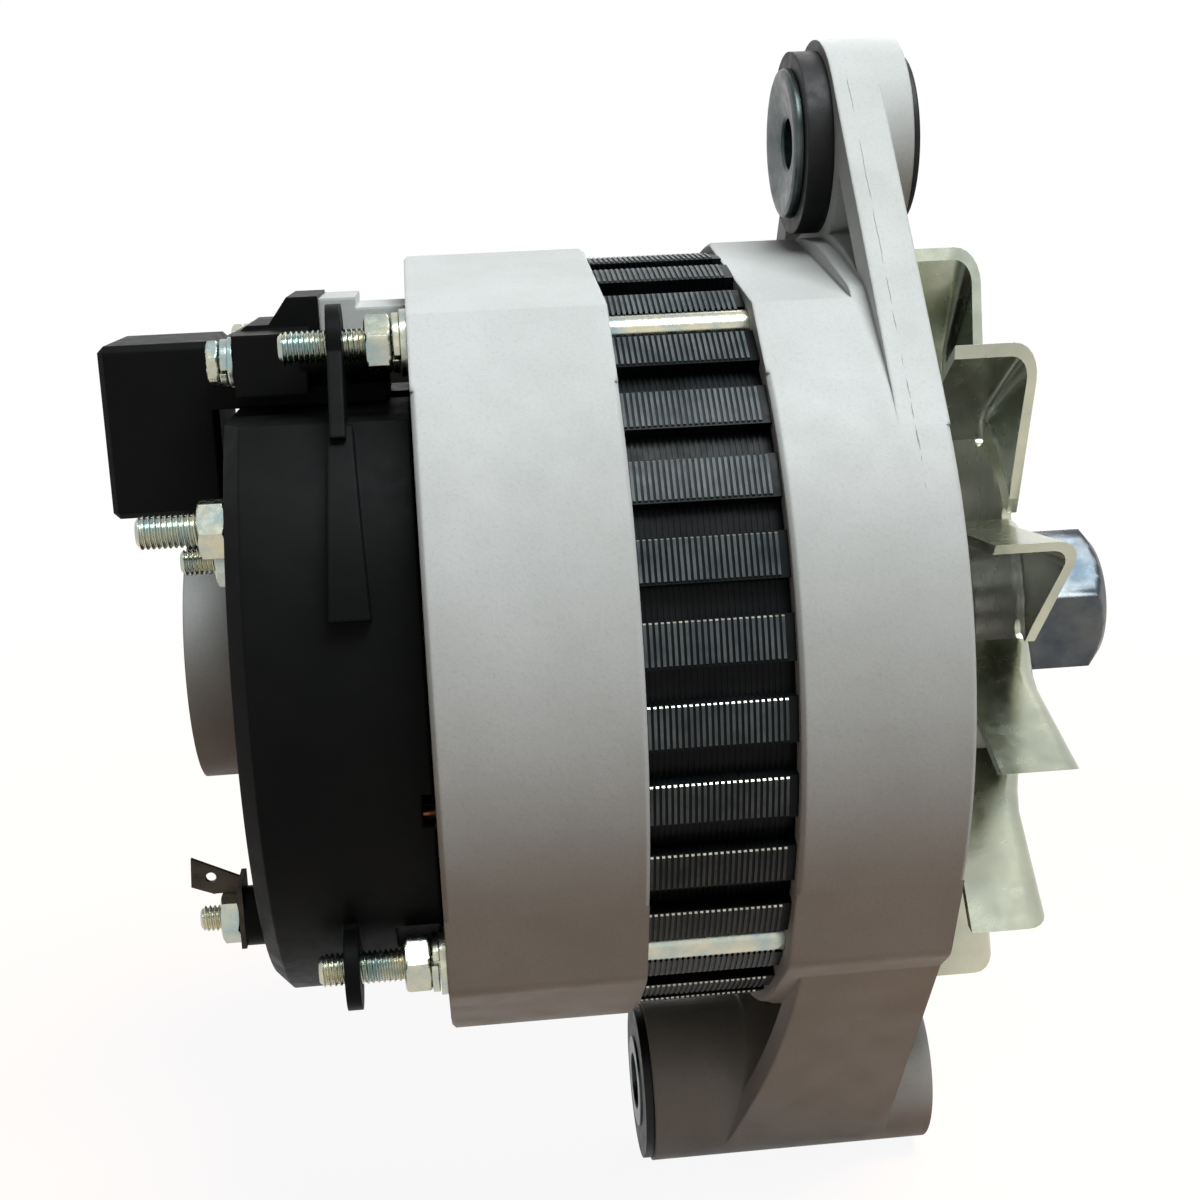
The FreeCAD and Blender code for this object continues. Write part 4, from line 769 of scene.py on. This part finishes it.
def evenNet(look, rim, triangles):
    # flat triangles inside a rim, split until none of their inner edges is longer than a cell
    net = bmesh.new()
    corners = [net.verts.new((y, z, 0)) for y, z in rim]
    for a, b, c in triangles:
        net.faces.new((corners[a], corners[b], corners[c]))
    for _ in range(look["cellTurns"]):
        inner = [edge for edge in net.edges if not edge.is_boundary]
        bmesh.ops.beautify_fill(net, faces=net.faces[:], edges=inner)
        tooLong = [edge for edge in net.edges if not edge.is_boundary and edge.calc_length() > look["cell"]]
        if not tooLong:
            break
        bmesh.ops.subdivide_edges(net, edges=tooLong, cuts=1)
        bmesh.ops.triangulate(net, faces=net.faces[:])
    # the rim's points come first, in their own order
    places = list(rim)
    digits = look["digits"]
    index = {(round(y, digits), round(z, digits)): k for k, (y, z) in enumerate(places)}
    cells = []
    for face in net.faces:
        cells.append([])
        for corner in face.verts:
            key = (round(corner.co.x, digits), round(corner.co.y, digits))
            if key not in index:
                index[key] = len(places)
                places.append((corner.co.x, corner.co.y))
            cells[-1].append(index[key])
    net.free()
    return places, cells


def notchRound(look, root, before, along, inward):
    # rim points round the notch at a fold's root, from the disc's edge to the fold
    away = (before - root).normalized()
    first = atan2(away.y, away.x)
    sweep = (atan2(inward.y, inward.x) - first) % (2 * pi)
    middle = first + sweep / 2
    if Vector((cos(middle), sin(middle))).dot((away + along).normalized()) > 0:
        sweep -= 2 * pi
    rim = []
    for k in range(look["notchSteps"] + 1):
        angle = first + sweep * k / look["notchSteps"]
        rim.append((root.x + look["notch"] * cos(angle), root.y + look["notch"] * sin(angle), False))
    return rim


def foldSection(look, fold, k):
    # (distance from the blade, station) of both skins at step k, round the fold and then down the blade
    thick = look["front"] - look["rear"]
    if k > look["foldSteps"]:
        x = look["bladeRear"] + (look["corner"] if k == look["foldSteps"] + 1 else 0.0)
        return [(0.0, x), (thick, x)]
    angle = pi / 2 + pi / 2 * k / look["foldSteps"]
    small = fold - thick
    return [(fold + fold * cos(angle), look["front"] - fold + fold * sin(angle)),
            (fold + small * cos(angle), look["front"] - fold + small * sin(angle))]


def foldedBlade(look, root, along, inward, length):
    # its points, row by row along the fold, and the rim points where it leaves the disc
    points, border = [], []
    rows, last = look["rows"], look["foldSteps"] + 2
    for r in range(rows + 1):
        share = r / rows
        fold = look["rootFold"] + (look["tipFold"] - look["rootFold"]) * share
        for k in range(last + 1):
            cut = look["corner"] if k == last else 0.0
            for n, x in foldSection(look, fold, k):
                s = look["notch"] + cut + (length - n - look["notch"] - cut) * share
                place = root + inward * n + along * s
                back = fanDish(look, place.x, place.y) if k <= look["foldSteps"] else 0.0
                points.append(spot(x - back, place.x, place.y))
        edge = root + inward * fold + along * (look["notch"] + (length - fold - look["notch"]) * share)
        border.append((edge.x, edge.y, r < rows))
    return points, border


def bladeFaces(look, base):
    rows, last = look["rows"], look["foldSteps"] + 2

    def at(r, k, side):
        return base + (r * (last + 1) + k) * 2 + side

    faces = []
    for r in range(rows):
        for k in range(last):
            faces.append([at(r, k, 0), at(r + 1, k, 0), at(r + 1, k + 1, 0), at(r, k + 1, 0)])
            faces.append([at(r, k, 1), at(r, k + 1, 1), at(r + 1, k + 1, 1), at(r + 1, k, 1)])
        faces.append([at(r, last, 0), at(r + 1, last, 0), at(r + 1, last, 1), at(r, last, 1)])
    for k in range(last):
        faces.append([at(0, k, 0), at(0, k + 1, 0), at(0, k + 1, 1), at(0, k, 1)])
        faces.append([at(rows, k, 0), at(rows, k, 1), at(rows, k + 1, 1), at(rows, k + 1, 0)])
    return faces


def fanMesh(look):
    points, faces = [], []
    # the disc's rim as (y, z, True where a blade goes on from it)
    border = []
    pitch = 360.0 / look["count"]
    for i in range(look["count"]):
        lead = look["angle"] - pitch * i
        root = Vector(polar(look["rootR"], lead + look["rootLead"]))
        tip = Vector(polar(look["rimR"], lead))
        before = Vector(polar(look["valleyR"], lead + pitch - look["valleyLag"]))
        after = Vector(polar(look["valleyR"], lead - look["valleyLag"]))
        along = (tip - root).normalized()
        inward = Vector((-along.y, along.x))
        border += notchRound(look, root, before, along, inward)
        bladePoints, bladeBorder = foldedBlade(look, root, along, inward, (tip - root).length)
        faces += bladeFaces(look, len(points))
        points += bladePoints
        border += bladeBorder + [(after.x, after.y, False)]
    hole = []
    for k in range(look["boreSides"]):
        angle = -2 * pi * k / look["boreSides"]
        hole.append((look["bore"] * cos(angle), look["bore"] * sin(angle), False))
    rings = [border, hole]
    triangles = tessellate_polygon([[Vector((y, z, 0)) for y, z, joined in ring] for ring in rings])
    base = len(points)
    places, cells = evenNet(look, [(y, z) for y, z, joined in border + hole], triangles)
    for x in (look["front"], look["rear"]):
        points += [spot(x - fanDish(look, y, z), y, z) for y, z in places]
    count = len(places)
    for a, b, c in cells:
        faces.append([base + a, base + b, base + c])
        faces.append([base + count + c, base + count + b, base + count + a])
    offset = base
    for ring in rings:
        size = len(ring)
        for k in range(size):
            m = (k + 1) % size
            if not ring[k][2]:
                faces.append([offset + k, offset + m, offset + count + m, offset + count + k])
        offset += size
    return points, faces


sheet = addPiece("fanSheet", *fanMesh(fan), "fan_steel", "rotor", ["fan"], sharp=fan["sharp"])
weld = sheet.modifiers.new("weld", "WELD")
weld.merge_threshold = fan["weld"] / 1000
softenEdges(sheet, fan["edge"])
print("fan made")

# stage, in metres: pale floor that bends up behind, white surroundings, soft lamps
stageLook = {
    "floorZ": -0.0152, "half": 3.0, "bendStart": 1.2, "bend": 0.5, "bendSteps": 8, "wallRise": 2.2,
    "floorColour": (0.17, 0.095, 0.05), "floorShade": 0.98, "driftScale": 3.0, "paper": (0.985, 0.99, 1.0),
    "nearLift": 0.93, "nearEdge": 0.22, "farEdge": 0.75,
    "worldLight": 0.045, "worldColour": (0.94, 0.97, 1.0),
}


def directRays(tree, rays):
    # 1 for rays from the camera and those mirrored or refracted on the way, 0 for diffuse ones
    total = rays.outputs["Is Camera Ray"]
    for kind in ("Is Glossy Ray", "Is Transmission Ray"):
        more = node(tree, "Math", operation="ADD")
        more.use_clamp = True
        tree.links.new(total, more.inputs[0])
        tree.links.new(rays.outputs[kind], more.inputs[1])
        total = more.outputs[0]
    return total


def stageMaterial(name):
    material = bpy.data.materials.new(name)
    material.use_nodes = True
    tree = material.node_tree
    tree.nodes.clear()
    output = node(tree, "OutputMaterial")
    matt = node(tree, "BsdfDiffuse")
    coords = node(tree, "TexCoord").outputs["Object"]
    drift = noise(tree, coords, "paper", stageLook["driftScale"])
    tint = [value * stageLook["floorShade"] for value in stageLook["floorColour"]]
    tree.links.new(blendColours(tree, drift, tint, stageLook["floorColour"]), matt.inputs["Color"])
    glow = node(tree, "Emission")
    glow.inputs["Color"].default_value = (*stageLook["paper"], 1)
    rays = node(tree, "LightPath")
    seen = directRays(tree, rays)
    reach = node(tree, "VectorMath", operation="LENGTH")
    tree.links.new(coords, reach.inputs[0])
    span = (stageLook["nearEdge"], stageLook["farEdge"])
    paper = rampValue(tree, reach.outputs["Value"], stageLook["nearLift"], 1.0, span)
    lift = node(tree, "Math", operation="MULTIPLY")
    tree.links.new(seen, lift.inputs[0])
    tree.links.new(paper, lift.inputs[1])
    tree.links.new(lift.outputs[0], glow.inputs["Strength"])
    both = node(tree, "AddShader")
    tree.links.new(matt.outputs[0], both.inputs[0])
    tree.links.new(glow.outputs[0], both.inputs[1])
    tree.links.new(both.outputs[0], output.inputs["Surface"])
    return material


def makeFloor():
    half, floorZ = stageLook["half"], stageLook["floorZ"]
    bend, bendStart = stageLook["bend"], stageLook["bendStart"]
    rows = [(-half, floorZ), (bendStart, floorZ)]
    for k in range(1, stageLook["bendSteps"] + 1):
        angle = pi / 2 * k / stageLook["bendSteps"]
        rows.append((bendStart + bend * sin(angle), floorZ + bend * (1 - cos(angle))))
    rows.append((bendStart + bend, floorZ + stageLook["wallRise"]))
    points, faces = [], []
    for y, z in rows:
        points += [(-half, y, z), (half, y, z)]
    for k in range(len(rows) - 1):
        faces.append([2 * k, 2 * k + 1, 2 * k + 3, 2 * k + 2])
    mesh = bpy.data.meshes.new("floor")
    mesh.from_pydata(points, [], faces)
    for face in mesh.polygons:
        face.use_smooth = True
    floor = bpy.data.objects.new("floor", mesh)
    bpy.context.scene.collection.objects.link(floor)
    mesh.materials.append(stageMaterial("floorPaper"))
    return floor


def makeWorld():
    world = bpy.data.worlds.new("studio")
    bpy.context.scene.world = world
    world.use_nodes = True
    tree = world.node_tree
    tree.nodes.clear()
    output = node(tree, "OutputWorld")
    light = node(tree, "Background", Strength=stageLook["worldLight"])
    light.inputs["Color"].default_value = (*stageLook["worldColour"], 1)
    seen = node(tree, "Background", Strength=1.0)
    seen.inputs["Color"].default_value = (1, 1, 1, 1)
    rays = node(tree, "LightPath")
    mix = node(tree, "MixShader")
    tree.links.new(directRays(tree, rays), mix.inputs[0])
    tree.links.new(light.outputs[0], mix.inputs[1])
    tree.links.new(seen.outputs[0], mix.inputs[2])
    tree.links.new(mix.outputs[0], output.inputs["Surface"])


def makeLamp(look):
    data = bpy.data.lights.new(look["name"], "AREA")
    data.shape = "RECTANGLE"
    data.size, data.size_y = look["size"]
    data.energy = look["power"]
    data.color = look["colour"]
    lamp = bpy.data.objects.new(look["name"], data)
    bpy.context.scene.collection.objects.link(lamp)
    lamp.location = look["at"]
    aim = Vector(look["aim"]) - Vector(look["at"])
    lamp.rotation_euler = aim.to_track_quat("-Z", "Y").to_euler()
    return lamp


lamps = [
    {"name": "key", "at": (0.24, -0.38, 0.95), "aim": (0, 0, 0.09), "size": (0.6, 0.45), "power": 11.4,
     "colour": (0.93, 0.98, 1.0)},
    {"name": "front", "at": (0.15, -1.00, 0.22), "aim": (0, 0, 0.08), "size": (0.7, 0.5), "power": 0.28,
     "colour": (1.0, 0.975, 0.93)},
    {"name": "behind", "at": (0.45, 0.75, 0.75), "aim": (0, 0, 0.09), "size": (0.5, 0.5), "power": 3.0,
     "colour": (1.0, 1.0, 1.0)},
]
makeFloor()
[makeLamp(look) for look in lamps]
makeWorld()
print("stage made")

# camera: solved from the ring edges in the photograph; turns in radians, the tilt about the shaft in degrees
view = {
    "focal": 52.53, "sensor": 36.0, "place": (-0.05647, -0.29435, 0.1580), "near": 0.01,
    "roll": -0.063460, "pitch": 0.003083, "yaw": 0.091176, "tilt": 12.6,
}


def makeCamera(look):
    def about(axis, angle):
        return Matrix.Rotation(angle, 3, axis)

    turn = about("Y", look["roll"]) @ about("X", look["pitch"]) @ about("Z", look["yaw"])
    turn = turn @ about("X", radians(look["tilt"]))
    right, ahead, up = turn.row[0], turn.row[1], turn.row[2]
    data = bpy.data.cameras.new("camera")
    data.sensor_fit = "HORIZONTAL"
    data.sensor_width = look["sensor"]
    data.lens = look["focal"]
    data.clip_start = look["near"]
    camera = bpy.data.objects.new("camera", data)
    bpy.context.scene.collection.objects.link(camera)
    columns = Matrix((right, up, -ahead)).transposed().to_4x4()
    camera.matrix_world = Matrix.Translation(look["place"]) @ columns
    bpy.context.scene.camera = camera


makeCamera(view)
bpy.context.scene.view_settings.view_transform = "Standard"
print("camera set")

bpy.context.view_layer.update()
